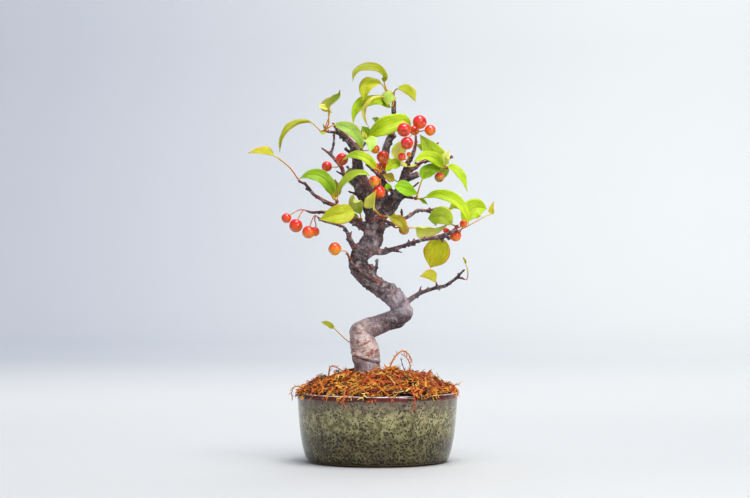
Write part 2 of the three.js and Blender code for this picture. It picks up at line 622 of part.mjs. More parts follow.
// Each fruit has its middle, its radius in mm, the way its calyx looks and its stalk's points.
const BUNCHES = [
  {
    name: "fruit_west_end", on: "branch_west_run",
    fruits: [
      {
        at: [286.5, 218, 0], radius: 3.4, eye: [-0.6, -0.3, -0.75],
        stalk: [[299, 210, 3], [294, 212.5, 1]],
      },
      {
        at: [296, 225.5, -3], radius: 4.6, eye: [-0.2, -0.3, -0.9],
        stalk: [[301.5, 212.5, 2], [299.5, 216, -1]],
      },
    ],
  },
  {
    name: "fruit_west_hook", on: "branch_hook",
    fruits: [
      {
        at: [308.5, 232, -14], radius: 4.3, eye: [-0.2, -0.3, -0.9],
        stalk: [[313.5, 217, -13.5], [311.3, 222, -14]],
      },
      {
        at: [314.3, 231.5, -8.5], radius: 3.5, eye: [0, 0, -1],
        stalk: [[314.8, 220.5, -11], [316, 226, -9.5]],
      },
    ],
  },
  {
    name: "fruit_waist", on: "twig_wrap",
    fruits: [
      {
        at: [335, 249, -20], radius: 4.4, eye: [-0.75, -0.2, 0.6],
        stalk: [[346, 251.5, -18], [342, 250.8, -19.5]],
      },
    ],
  },
  {
    name: "fruit_fork", on: "peg_fork",
    fruits: [
      {
        at: [327, 166.5, 5], radius: 3.6, eye: [-0.9, -0.3, 0.1],
        stalk: [[337, 167, 2], [333.5, 167, 4]],
      },
      { at: [342, 159, -4], radius: 4.2, eye: [0.1, -0.85, -0.5], stalk: [[342, 166, -0.5]] },
    ],
  },
  {
    name: "fruit_heart", root: [379.6, 172.2, -10],
    fruits: [
      {
        at: [383, 157, -4], radius: 4.3, eye: [-0.1, -0.95, -0.1],
        stalk: [[382, 166, -5], [383.5, 161, 0.2]],
      },
      { at: [384.5, 165.5, 3], radius: 3.7, eye: [0.2, 0.7, 0.5], stalk: [[383, 170, -5]] },
      { at: [375.5, 167, -5], radius: 2.8, eye: [-0.7, -0.3, 0.6] },
    ],
  },
  {
    name: "fruit_heart_low", root: [379.6, 179.3, -14.2],
    fruits: [
      { at: [374.5, 181, -18], radius: 3.6, eye: [-0.6, -0.7, 0.1] },
      { at: [379, 192, -14.5], radius: 4.3, eye: [0, -0.4, -0.9], stalk: [[380.8, 183, -14.5]] },
    ],
  },
  {
    name: "fruit_upper", root: [362.8, 150.8, -10],
    fruits: [
      { at: [375, 149, -5], radius: 3.1, eye: [0.7, -0.4, -0.4], stalk: [[367, 150.5, -8]] },
    ],
  },
  {
    name: "fruit_leader", on: "leader_right",
    fruits: [
      {
        at: [404, 129.5, -19], radius: 4.7, eye: [0, -0.85, -0.5],
        stalk: [[413, 129.5, -10], [409, 126, -13.5]],
      },
      {
        at: [407, 143, -19], radius: 4.3, eye: [0.05, -0.9, -0.4],
        stalk: [[413.5, 133, -12], [410.5, 136, -15]],
      },
      { at: [419.5, 122, -13], radius: 4.7, eye: [0.65, -0.75, -0.05], stalk: [[416.5, 128, -9.5]] },
      {
        at: [430, 130, -11], radius: 3.8, eye: [0.75, -0.3, -0.5],
        stalk: [[420, 131.5, -8], [425, 130, -9]],
      },
      { at: [414.6, 130.5, -3], radius: 3.4, eye: [-0.2, 0.9, 0.2] },
    ],
  },
  {
    name: "fruit_far_east", root: [440.5, 166.5, -2.5],
    fruits: [
      { at: [439.5, 177, -5], radius: 3.4, eye: [0, -0.6, -0.8], stalk: [[442, 172, -2]] },
    ],
  },
  {
    name: "fruit_middle", root: [402.5, 221.3, 12.5],
    fruits: [
      { at: [404, 229.5, 2], radius: 3.6, eye: [0, -0.2, -0.95], stalk: [[403.5, 222.5, 6]] },
    ],
  },
  {
    name: "fruit_bend_east", root: [460.3, 231.7, -22.8],
    fruits: [
      { at: [455.5, 235.5, -17.5], radius: 4.0, eye: [-0.2, 0.3, -0.9], stalk: [[460, 233, -20.5]] },
      { at: [463.5, 224, -22], radius: 2.6, eye: [0.2, 0, 0.95] },
    ],
  },
  {
    name: "fruit_bud_red", root: [448.8, 229.2, -22.3],
    fruits: [
      { at: [446, 230.5, -19.5], radius: 1.9, eye: [-0.6, 0.3, -0.7] },
    ],
  },
  {
    name: "fruit_inner", root: [407.6, 160.5, -12.3],
    fruits: [
      { at: [402, 156.8, -17], radius: 2.7, eye: [-0.3, -0.8, 0.3] },
      { at: [409, 154.5, -14.5], radius: 1.7, eye: [0.2, -0.5, 0.8] },
    ],
  },
];

// Roots in the soil, in the same form as the limbs.
const ROOTS = [
  [[-6, 0, 32, 5], [-24, -10, 26, 2.6], [-36, -13, 14, 1]],
  [[-5, 0, 31, 5], [7, -16, 25, 2.6], [16, -33, 13, 1]],
  [[-5, 0, 32, 5], [16, 5, 25, 2.6], [35, 2, 14, 1]],
  [[-6, 0, 30, 5], [-5, 18, 24, 2.4], [4, 35, 13, 1]],
];
const ROOT_SIDES = 5;

// Balls that thicken the trunk where it turns sharply: [x, y, z, radius].
const BURLS = [[-12, -3, 87.5, 7.2], [17, 5, 100.5, 7.2]];

// Long moss strands, each [x, y, z] along its length.
const LONG_STRANDS = [
  [[7, -8, 54], [8, -8, 61], [11, -9, 67.5], [15, -9, 74], [19.5, -8, 72], [21.5, -7, 68]],
  [[19, -5, 55], [18, -6, 60], [16.5, -7, 66], [15, -8, 71.5]],
  [[-34, -8, 52], [-33, -8, 58], [-31.5, -9, 64.5], [-28, -8, 64], [-23, -6, 61]],
  [[-20, -41, 48.5], [-21, -47, 52], [-21.5, -53, 49.5], [-22.5, -56, 45], [-21, -56.5, 40]],
  [[-27, -36, 49], [-29, -42, 52], [-31, -48, 49.5], [-33, -50, 46.5]],
  [[21, -39, 48.5], [22, -45, 52], [23, -52, 49.5], [24.5, -55, 44], [23, -55.5, 38]],
  [[-45, -4, 49], [-50, -4, 50], [-56, -3, 50.5], [-58, -2, 46.5], [-57.5, -2, 42]],
  [[42, 0, 50], [46, 0, 53], [52, -1, 51.5], [55.5, -2, 52.5]],
  [[9, 38, 49], [10, 44, 52], [12, 51, 50], [13, 56, 46], [12, 57, 41]],
  [[-17, 38, 48.5], [-18, 44, 52], [-20, 50, 50.5], [-21, 54, 51]],
  [[32, 30, 48.5], [36, 34, 51], [40, 39, 50], [43, 41.5, 46]],
];

// ---------------------------------------------------------------- solids

// A point of the front view in millimetres; a radius or anything else after it stays as it is.
function placed([across, down, depth, ...rest]) {
  const square = VIEW_SQUARE * (1 + depth / VIEW_DISTANCE);
  const x = VIEW_MIDDLE.x + (across - VIEW_MIDDLE.across) * square;
  const z = VIEW_MIDDLE.z + (VIEW_MIDDLE.down - down) * square;
  return [x, depth, z, ...rest];
}

function solidOf(geometry) {
  const bare = geometry.clone();
  bare.deleteAttribute("normal");
  bare.deleteAttribute("uv");
  const merged = mergeVertices(bare, 1e-4);
  return new wasm.Manifold(
    new wasm.Mesh({
      numProp: 3,
      vertProperties: new Float32Array(merged.attributes.position.array),
      triVerts: new Uint32Array(merged.index.array),
    })
  );
}

function joined(solids) {
  return solids.reduce((whole, next) => whole.add(next));
}

function geometryOf(solid) {
  const mesh = solid.getMesh();
  const geometry = new THREE.BufferGeometry();
  geometry.setAttribute("position", new THREE.BufferAttribute(mesh.vertProperties, 3));
  geometry.setIndex(new THREE.BufferAttribute(mesh.triVerts, 1));
  geometry.computeVertexNormals();
  return geometry;
}

function seededRandom(seed) {
  let state = seed;
  return () => {
    state = (state * 1664525 + 1013904223) % 4294967296;
    return state / 4294967296;
  };
}

// A profile of [radius, height] pairs turned about the Z axis.
function turned(profile, sides) {
  const points = profile.map(([radius, height]) => new THREE.Vector2(radius, height));
  const geometry = new THREE.LatheGeometry(points, sides);
  geometry.rotateX(Math.PI / 2);
  return geometry;
}

// A cylinder standing on Z, or any box, at a place.
function cylinder(radius, height, sides, x, y, z) {
  const geometry = new THREE.CylinderGeometry(radius, radius, height, sides);
  geometry.rotateX(Math.PI / 2);
  geometry.translate(x, y, z);
  return solidOf(geometry);
}

function box(width, depth, height, x, y, z) {
  const geometry = new THREE.BoxGeometry(width, depth, height);
  geometry.translate(x, y, z);
  return solidOf(geometry);
}

function ball(radius, [x, y, z]) {
  const geometry = new THREE.IcosahedronGeometry(radius, 1);
  geometry.translate(x, y, z);
  return solidOf(geometry);
}

function bud([x, y, z]) {
  const geometry = new THREE.OctahedronGeometry(BUD_RADIUS);
  geometry.translate(x, y, z);
  return solidOf(geometry);
}

// Rings of a smooth line at marks counted in its points: the place, the direction, and two
// directions across it that never twist.
function ringsAt(points, marks) {
  const curve = new THREE.CatmullRomCurve3(
    points.map(([x, y, z]) => new THREE.Vector3(x, y, z)), false, "centripetal"
  );
  const rings = [];
  let across = null;
  for (const mark of marks) {
    const point = curve.getPoint(mark / (points.length - 1));
    const along = curve.getTangent(mark / (points.length - 1));
    if (across === null) {
      across = new THREE.Vector3(1, 0, 0);
      if (Math.abs(along.x) > 0.8) across.set(0, 0, 1);
    }
    across = across.clone().addScaledVector(along, -across.dot(along)).normalize();
    const up = new THREE.Vector3().crossVectors(across, along);
    rings.push({ point, along, across, up });
  }
  return rings;
}

// A cylinder bent along a line of [x, y, z, radius] points; `extra` thickens it all over and
// `lump` raises slow waves round it.
function limb(line, sides, { extra = 0, lump = 0 } = {}) {
  const steps = line.length - 1;
  const rings = ringsAt(line, line.map((_, step) => step));
  const geometry = new THREE.CylinderGeometry(1, 1, 1, sides, steps);
  const place = geometry.attributes.position;
  const moved = new THREE.Vector3();
  for (let i = 0; i < place.count; i++) {
    const step = Math.round((place.getY(i) + 0.5) * steps);
    const angle = Math.atan2(place.getZ(i), place.getX(i));
    const wave = Math.sin(3 * angle + 1.1 * step) + 0.7 * Math.sin(2 * angle - 0.8 * step);
    const radius = line[step][3] * (1 + lump * wave) + extra;
    const { point, across, up } = rings[step];
    moved.copy(point)
      .addScaledVector(across, place.getX(i) * radius)
      .addScaledVector(up, place.getZ(i) * radius);
    place.setXYZ(i, moved.x, moved.y, moved.z);
  }
  return solidOf(geometry);
}

// ---------------------------------------------------------------- pot, soil and moss

function potSolid() {
  const profile = [[0, 0], ...POT_OUTSIDE, ...POT_LIP, ...POT_INSIDE, [0, POT_FLOOR]];
  let pot = solidOf(turned(profile, POT_SIDES));
  for (const side of [-1, 1]) {
    pot = pot.subtract(cylinder(DRAIN_RADIUS, 4 * POT_FLOOR, 16, side * DRAIN_OFFSET, 0, 0));
  }
  return pot;
}

function screenSolid(side) {
  const height = POT_FLOOR + GAP + 0.2 + SCREEN_THICK / 2;
  let screen = box(SCREEN_SIZE, SCREEN_SIZE, SCREEN_THICK, side * DRAIN_OFFSET, 0, height);
  for (const i of [-0.5, 0.5]) {
    for (const j of [-0.5, 0.5]) {
      const x = side * DRAIN_OFFSET + i * SCREEN_PITCH;
      const hole = box(SCREEN_HOLE, SCREEN_HOLE, 2 * SCREEN_THICK, x, j * SCREEN_PITCH, height);
      screen = screen.subtract(hole);
    }
  }
  return screen;
}

// The buried stem and its roots, thickened by the gap that soil and moss keep to them.
function rootSpace() {
  const { line, sides } = LIMBS.trunk_foot;
  const stem = limb(line.map(placed), sides, { extra: GAP, lump: TRUNK_LUMP });
  return joined([stem, ...ROOTS.map((root) => limb(root, ROOT_SIDES, { extra: GAP }))]);
}

function soilSolid() {
  const wall = POT_INSIDE.slice(1).map(([radius, height]) => [radius - 0.5, height + 0.2]).reverse();
  const profile = [[0, POT_FLOOR + 0.6], ...wall, [POT_INSIDE[0][0] - 0.5, SOIL_TOP], [0, SOIL_TOP]];
  let soil = solidOf(turned(profile, POT_SIDES));
  for (const side of [-1, 1]) {
    const room = SCREEN_SIZE + 2 * GAP;
    soil = soil.subtract(box(room, room, 4, side * DRAIN_OFFSET, 0, POT_FLOOR));
  }
  return soil.subtract(rootSpace());
}

// Height of the moss at a distance from the middle.
function mossHeight(distance) {
  const share = Math.min(distance / MOSS_EDGE_RADIUS, 1);
  return MOSS_EDGE_HEIGHT + (MOSS_TOP - MOSS_EDGE_HEIGHT) * (1 - share ** 2.4);
}

function mossMound(random) {
  const rings = [49, 41, 32, 23, 13];
  const foot = SOIL_TOP + 0.4;
  const profile = [
    [0, foot], [49.5, foot], [49.9, 47.5], [53.4, 47.6], [MOSS_EDGE_RADIUS, MOSS_EDGE_HEIGHT],
    ...rings.map((radius) => [radius, mossHeight(radius)]), [0, MOSS_TOP],
  ];
  const geometry = turned(profile, MOSS_SIDES);
  const place = geometry.attributes.position;
  const lumps = Array.from({ length: profile.length * MOSS_SIDES }, () => random() - 0.5);
  for (let i = 0; i < place.count; i++) {
    const row = i % profile.length;
    const column = Math.floor(i / profile.length) % MOSS_SIDES;
    if (row < 4 || row === profile.length - 1) continue;
    const lump = 2 * MOSS_LUMP * lumps[row * MOSS_SIDES + column];
    place.setZ(i, Math.max(place.getZ(i) + lump, 48));
  }
  return solidOf(geometry);
}

function strand(points) {
  const line = points.map((point, i) => [...point, i === points.length - 1 ? 0.45 : STRAND_RADIUS]);
  return limb(line, 3);
}

// Short strands stand out of the mound all round, leaning outwards.
function shortStrand(random) {
  const angle = random() * 2 * Math.PI;
  const distance = 16 + 36 * Math.sqrt(random());
  const lean = angle + (random() - 0.5) * 2.4;
  const reach = SHORT_STRAND_LENGTH * (0.6 + 0.5 * random());
  const start = [distance * Math.cos(angle), distance * Math.sin(angle)];
  const height = mossHeight(distance);
  const out = [Math.cos(lean) * reach, Math.sin(lean) * reach];
  return strand([
    [start[0], start[1], height - 3],
    [start[0] + 0.3 * out[0], start[1] + 0.3 * out[1], height + 2.2],
    [start[0] + out[0], start[1] + out[1], height + 1.5 - 1.5 * (distance / MOSS_EDGE_RADIUS)],
  ]);
}

function mossSolid() {
  const random = seededRandom(MOSS_SEED);
  const pieces = [mossMound(random), ...LONG_STRANDS.map(strand)];
  for (let i = 0; i < SHORT_STRANDS; i++) pieces.push(shortStrand(random));
  return joined(pieces).subtract(rootSpace());
}

// ---------------------------------------------------------------- wood

function woodSolid() {
  const pieces = Object.values(LIMBS).map(({ sides, line }) =>
    limb(line.map(placed), sides, { lump: sides >= LUMPY_SIDES ? TRUNK_LUMP : 0 })
  );
  pieces.push(...ROOTS.map((line) => limb(line, ROOT_SIDES)));
  pieces.push(...BURLS.map(([x, y, z, radius]) => ball(radius, [x, y, z])));
  return joined(pieces);
}

// ---------------------------------------------------------------- leaves

// Where a spray or a bunch starts, in the front view: at its own root, or just past the end of
// the limb it sits on, a little further where a bud holds several leaves or fruits together.
function startOf({ root, on }, several) {
  if (root) return placed(root);
  const [before, end] = LIMBS[on].line.slice(-2).map((point) => new THREE.Vector3(...placed(point)));
  const reach = several ? BUD_REACH : STALK_REACH;
  return end.clone().addScaledVector(end.clone().sub(before).normalize(), reach).toArray();
}

// One leaf: a thin strip from its root along its stalk, widening into an arched blade along the
// rib, folded a little and waved at the edges. `face` is the way the blade's upper side looks.
// Both faces are split alike, so they stay a plate's thickness apart.
function leafSolid(root, { stalk = [], rib, half, face, fold = BLADE_FOLD, belly = BLADE_BELLY }) {
  const path = [root, ...stalk.map(placed), ...rib.map(placed)];
  const stalkRows = path.length - rib.length;
  const bladeRows = rib.length > 3 ? 5 : 4;
  const columns = half >= WIDE_BLADE ? 4 : 2;
  const rows = stalkRows + bladeRows;
  const marks = Array.from({ length: rows + 1 }, (_, row) =>
    Math.min(row, stalkRows) + Math.max(row - stalkRows, 0) * ((rib.length - 1) / bladeRows)
  );
  const rings = ringsAt(path, marks);
  const upper = new THREE.Vector3(...face);
  const start = new THREE.Vector3().crossVectors(rings[stalkRows].along, upper);
  const peak = Math.log(0.5) / Math.log(belly);
  const corners = [];
  for (const thickness of [BLADE_THICK / 2, -BLADE_THICK / 2]) {
    rings.forEach(({ point, along }, row) => {
      const t = Math.max(row - stalkRows, 0) / bladeRows;
      const across = new THREE.Vector3().crossVectors(along, upper);
      if (row < stalkRows) across.copy(start).addScaledVector(along, -start.dot(along));
      across.normalize();
      const normal = new THREE.Vector3().crossVectors(across, along);
      const least = t === 1 ? BLADE_TIP : STALK_RADIUS;
      const width = Math.max(half * Math.sin(Math.PI * t ** peak) ** 0.8, least);
      for (let column = 0; column <= columns; column++) {
        const share = (2 * column) / columns - 1;
        const wave = width > 2 ? BLADE_WAVE * Math.sin(2.4 * row + 2 * share) * share * share : 0;
        const rise = t > 0 ? Math.abs(share) * width * Math.sin(fold) : 0;
        corners.push(
          point.clone()
            .addScaledVector(across, share * width * Math.cos(fold))
            .addScaledVector(normal, rise + wave + thickness)
        );
      }
    });
  }
  return solidOf(plate(corners, rows, columns));
}

// A closed plate from its upper grid of corners followed by its lower one.
function plate(corners, rows, columns) {
  const index = [];
  const stride = columns + 1;
  const under = stride * (rows + 1);
  for (let row = 0; row < rows; row++) {
    for (let column = 0; column < columns; column++) {
      const a = row * stride + column;
      const [b, c, d] = [a + 1, a + stride + 1, a + stride];
      index.push(a, b, c, a, c, d, under + a, under + c, under + b, under + a, under + d, under + c);
    }
  }
  const rim = [];
  for (let column = 0; column < columns; column++) rim.push(column);
  for (let row = 0; row < rows; row++) rim.push(row * stride + columns);
  for (let column = columns; column > 0; column--) rim.push(rows * stride + column);
  for (let row = rows; row > 0; row--) rim.push(row * stride);
  rim.forEach((a, i) => {
    const b = rim[(i + 1) % rim.length];
    index.push(a, under + a, under + b, a, under + b, b);
  });
  const geometry = new THREE.BufferGeometry().setFromPoints(corners);
  geometry.setIndex(index);
  return geometry;
}

// A spray: its leaves, held together by a bud where there are several.
function spraySolid(spray) {
  const several = spray.leaves.length > 1;
  const root = startOf(spray, several);
  const leaves = spray.leaves.map((leaf) => leafSolid(root, leaf));
  return several ? joined([bud(root), ...leaves]) : leaves[0];
}

// ---------------------------------------------------------------- fruit

function fruitSolid(centre, radius, eye) {
  const geometry = turned(FRUIT_PROFILE.map(([r, h]) => [r * radius, h * radius]), FRUIT_SIDES);
  const turn = new THREE.Quaternion().setFromUnitVectors(new THREE.Vector3(0, 0, 1), eye);
  geometry.applyQuaternion(turn);
  geometry.translate(...centre);
  return solidOf(geometry);
}

// A bunch: each stalk with its fruit, held together by a bud; a stalk ends in the fruit's dimple.
function bunchSolid(bunch) {
  const several = bunch.fruits.length > 1;
  const root = startOf(bunch, several);
  const pieces = several ? [bud(root)] : [];
  for (const { at, radius, eye, stalk = [] } of bunch.fruits) {
    const centre = placed(at);
    const axis = new THREE.Vector3(...eye).normalize();
    const dimple = new THREE.Vector3(...centre).addScaledVector(axis, -0.6 * radius).toArray();
    const line = [root, ...stalk.map(placed), dimple].map((point) => [...point, STALK_RADIUS]);
    pieces.push(limb(line, 3), fruitSolid(centre, radius, axis));
  }
  return joined(pieces);
}

// ---------------------------------------------------------------- the tree

const FINISHES = {
  glaze: { color: 0x77784f, roughness: 0.22, metalness: 0 },
  screen: { color: 0x2b2c2e, roughness: 0.7, metalness: 0 },
  soil: { color: 0x3b2a20, roughness: 0.95, metalness: 0 },
  moss: { color: 0xa8571c, roughness: 0.95, metalness: 0 },
  bark: { color: 0x75646a, roughness: 0.85, metalness: 0 },
  leaf: { color: 0x8fb020, roughness: 0.5, metalness: 0 },
  fruit: { color: 0xe0401a, roughness: 0.2, metalness: 0 },
};

const bonsai = new THREE.Group();
bonsai.name = "crabapple_bonsai";

function place(name, solid, finish) {
  const mesh = new THREE.Mesh(geometryOf(solid), new THREE.MeshStandardMaterial(FINISHES[finish]));
  mesh.name = name;
  bonsai.add(mesh);
}

place("pot", potSolid(), "glaze");
place("drain_screen_left", screenSolid(-1), "screen");
place("drain_screen_right", screenSolid(1), "screen");
place("soil", soilSolid(), "soil");
place("moss", mossSolid(), "moss");
place("wood", woodSolid(), "bark");
for (const spray of SPRAYS) place(spray.name, spraySolid(spray), "leaf");
for (const bunch of BUNCHES) place(bunch.name, bunchSolid(bunch), "fruit");

export default bonsai;
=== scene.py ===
"""A crabapple bonsai in a round glazed pot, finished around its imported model.

Metres, +Z up, +X to the right seen from the front, origin at the centre of the pot's underside.
"""

import json
import logging
import math
import random
from dataclasses import dataclass, field
from enum import Enum

import bmesh
import bpy
import numpy as np
from bpy.types import Material, Mesh, Node, NodeSocket, Object, bpy_prop_collection
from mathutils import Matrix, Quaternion, Vector, noise
from mathutils.kdtree import KDTree

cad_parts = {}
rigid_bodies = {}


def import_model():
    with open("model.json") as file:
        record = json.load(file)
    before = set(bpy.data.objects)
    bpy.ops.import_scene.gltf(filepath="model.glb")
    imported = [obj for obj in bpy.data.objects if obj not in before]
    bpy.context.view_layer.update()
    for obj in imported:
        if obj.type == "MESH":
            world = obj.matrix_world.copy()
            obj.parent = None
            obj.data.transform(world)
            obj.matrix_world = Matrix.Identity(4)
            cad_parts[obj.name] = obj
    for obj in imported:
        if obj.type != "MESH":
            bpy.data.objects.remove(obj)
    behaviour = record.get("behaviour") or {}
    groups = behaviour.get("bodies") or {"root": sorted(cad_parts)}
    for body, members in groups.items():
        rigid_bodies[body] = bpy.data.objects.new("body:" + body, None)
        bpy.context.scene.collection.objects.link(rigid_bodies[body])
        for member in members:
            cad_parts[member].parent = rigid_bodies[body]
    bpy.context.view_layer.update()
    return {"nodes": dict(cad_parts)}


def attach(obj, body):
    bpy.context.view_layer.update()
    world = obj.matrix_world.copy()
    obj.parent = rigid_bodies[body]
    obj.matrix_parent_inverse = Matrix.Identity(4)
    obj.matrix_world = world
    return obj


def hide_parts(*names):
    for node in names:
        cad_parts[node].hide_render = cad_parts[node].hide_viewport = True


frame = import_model()

MM = 0.001
LOG = logging.getLogger("bonsai")


def clamped(value: float, low: float = 0.0, high: float = 1.0) -> float:
    """Keep a value between two limits."""
    return min(max(value, low), high)


def blended(first: np.ndarray, second: np.ndarray, share: float | np.ndarray) -> np.ndarray:
    """Mix two colours, or rows of them, by a share of the second."""
    return first + (second - first) * share


# --- the front view

# The tree is laid out on a front view from eye height, VIEW_DISTANCE mm away. A point is
# (across, down, depth): squares to the right, squares downwards, and millimetres behind the stem.
VIEW_DISTANCE = 1500
VIEW_SQUARE = 0.677
VIEW_ACROSS = 375
VIEW_DOWN = 249
EYE_X = -1.7
EYE_Z = 143.6


def placed(point: tuple[float, ...]) -> Vector:
    """Turn a point of the front view into metres.

    Args:
        point: Across, down and depth, with anything after them left unread.

    Returns:
        The place in the part's own frame.
    """
    across, down, depth = point[:3]
    square = VIEW_SQUARE * (1 + depth / VIEW_DISTANCE)
    x = EYE_X + (across - VIEW_ACROSS) * square
    z = EYE_Z + (VIEW_DOWN - down) * square
    return Vector((x, depth, z)) * MM


# --- colours and choices


def linear(code: int) -> tuple[float, float, float]:
    """Turn a screen colour such as 0x9DB321 into its three parts of linear light, from 0 to 1."""
    parts = [(code >> shift & 255) / 255 for shift in (16, 8, 0)]
    return tuple(p / 12.92 if p <= 0.04045 else ((p + 0.055) / 1.055) ** 2.4 for p in parts)


@dataclass(frozen=True)
class Hue:
    """The colours of a leaf: by its stalk, at its tip and along its edge."""

    base: int
    tip: int
    edge: int
    edge_share: float = 0.35


class Tint(Enum):
    """The colours that this tree's leaves turn in autumn."""

    LIME = Hue(0x96B208, 0xA6C414, 0xC8C830)
    YELLOW_LIME = Hue(0x80A606, 0xB0C810, 0xD4CC38)
    PALE_LIME = Hue(0xEEF85E, 0xF2FA8C, 0xE8E890)
    SPRING = Hue(0xA4B812, 0x9CC02C, 0xC0B430)
    BRIGHT_GREEN = Hue(0x76AC06, 0x88C00C, 0xB8DC28)
    GREEN = Hue(0x6A960E, 0x7CA41A, 0xA8B430)
    DEEP_GREEN = Hue(0x8ABA0A, 0x76A408, 0xA4881E)
    DULL = Hue(0xB4CA3E, 0xA2C034, 0xB8AE40)
    GREY_GREEN = Hue(0x80A44C, 0x769A34, 0xC46A44, 0.6)
    MINT = Hue(0xAEDA66, 0xA6D85E, 0xB8E070)
    OLIVE = Hue(0x90980E, 0x969A1A, 0xB8782A, 0.6)
    OLIVE_DEEP = Hue(0x808C08, 0x868E10, 0xB07028, 0.6)
    OLIVE_GOLD = Hue(0xACB416, 0xA6AC1C, 0xC87A28, 0.6)
    YELLOW_OLIVE = Hue(0xBEC018, 0xC2B81A, 0xCC4E1E, 0.7)
    PALE_YELLOW = Hue(0xF2F070, 0xE8E85C, 0xE0A040, 0.5)
    PALE_TIP = Hue(0x7E9A1C, 0xE2E286, 0xB4A038)
    FOLDED = Hue(0xDCD66A, 0x7EA02A, 0xC8402A, 0.6)
    GOLD = Hue(0xD8D830, 0xE4CC2A, 0xE07420, 0.7)
    PALE_GOLD = Hue(0xC8BE54, 0xB4AC4C, 0xCC8444, 0.6)
    RUSSET = Hue(0x9C961C, 0x968220, 0xCC5424, 0.8)


@dataclass(frozen=True)
class Skin:
    """The colours of a fruit: its sunny side, its shaded side and its scar."""

    sun: int
    shade: int
    scar: int = 0x6E2A16


class Ripeness(Enum):
    """How far a fruit has coloured."""

    CRIMSON = Skin(0xDE0E2A, 0xEC4A0A, 0x6A3A34)
    RED = Skin(0xE81622, 0xF05E0A, 0x6E4038)
    ORANGE_RED = Skin(0xF02A16, 0xF47E0C, 0x744438)
    ORANGE = Skin(0xF05412, 0xF49C14, 0x8A5230)
    TURNING = Skin(0xE84A24, 0xBC9A1E, 0x7A4A34)
    GREEN = Skin(0x9AA048, 0xC98A3A, 0x8A5A2A)


# --- the tree's own lines


@dataclass(frozen=True)
class Leaf:
    """A leaf: its colours, half its width in mm, the way its upper side looks, and its lines."""

    tint: Tint
    half: float
    face: tuple[float, float, float]
    rib: list[tuple[float, float, float]]
    stalk: list[tuple[float, float, float]] = field(default_factory=list)
    fold: float = 0.25
    belly: float = 0.42


@dataclass(frozen=True)
class Fruit:
    """A fruit: its colours, its middle, its radius in mm, the way its scar looks, and its stalk."""

    ripeness: Ripeness
    at: tuple[float, float, float]
    radius: float
    eye: tuple[float, float, float]
    stalk: list[tuple[float, float, float]] = field(default_factory=list)


@dataclass(frozen=True)
class Cluster:
    """What grows from one bud: on the end of a limb, or at a root of its own."""

    name: str
    on: str = ""
    root: tuple[float, float, float] | None = None


@dataclass(frozen=True)
class Spray(Cluster):
    """A cluster of leaves."""

    leaves: list[Leaf] = field(default_factory=list)


@dataclass(frozen=True)
class Bunch(Cluster):
    """A cluster of fruit."""

    fruits: list[Fruit] = field(default_factory=list)


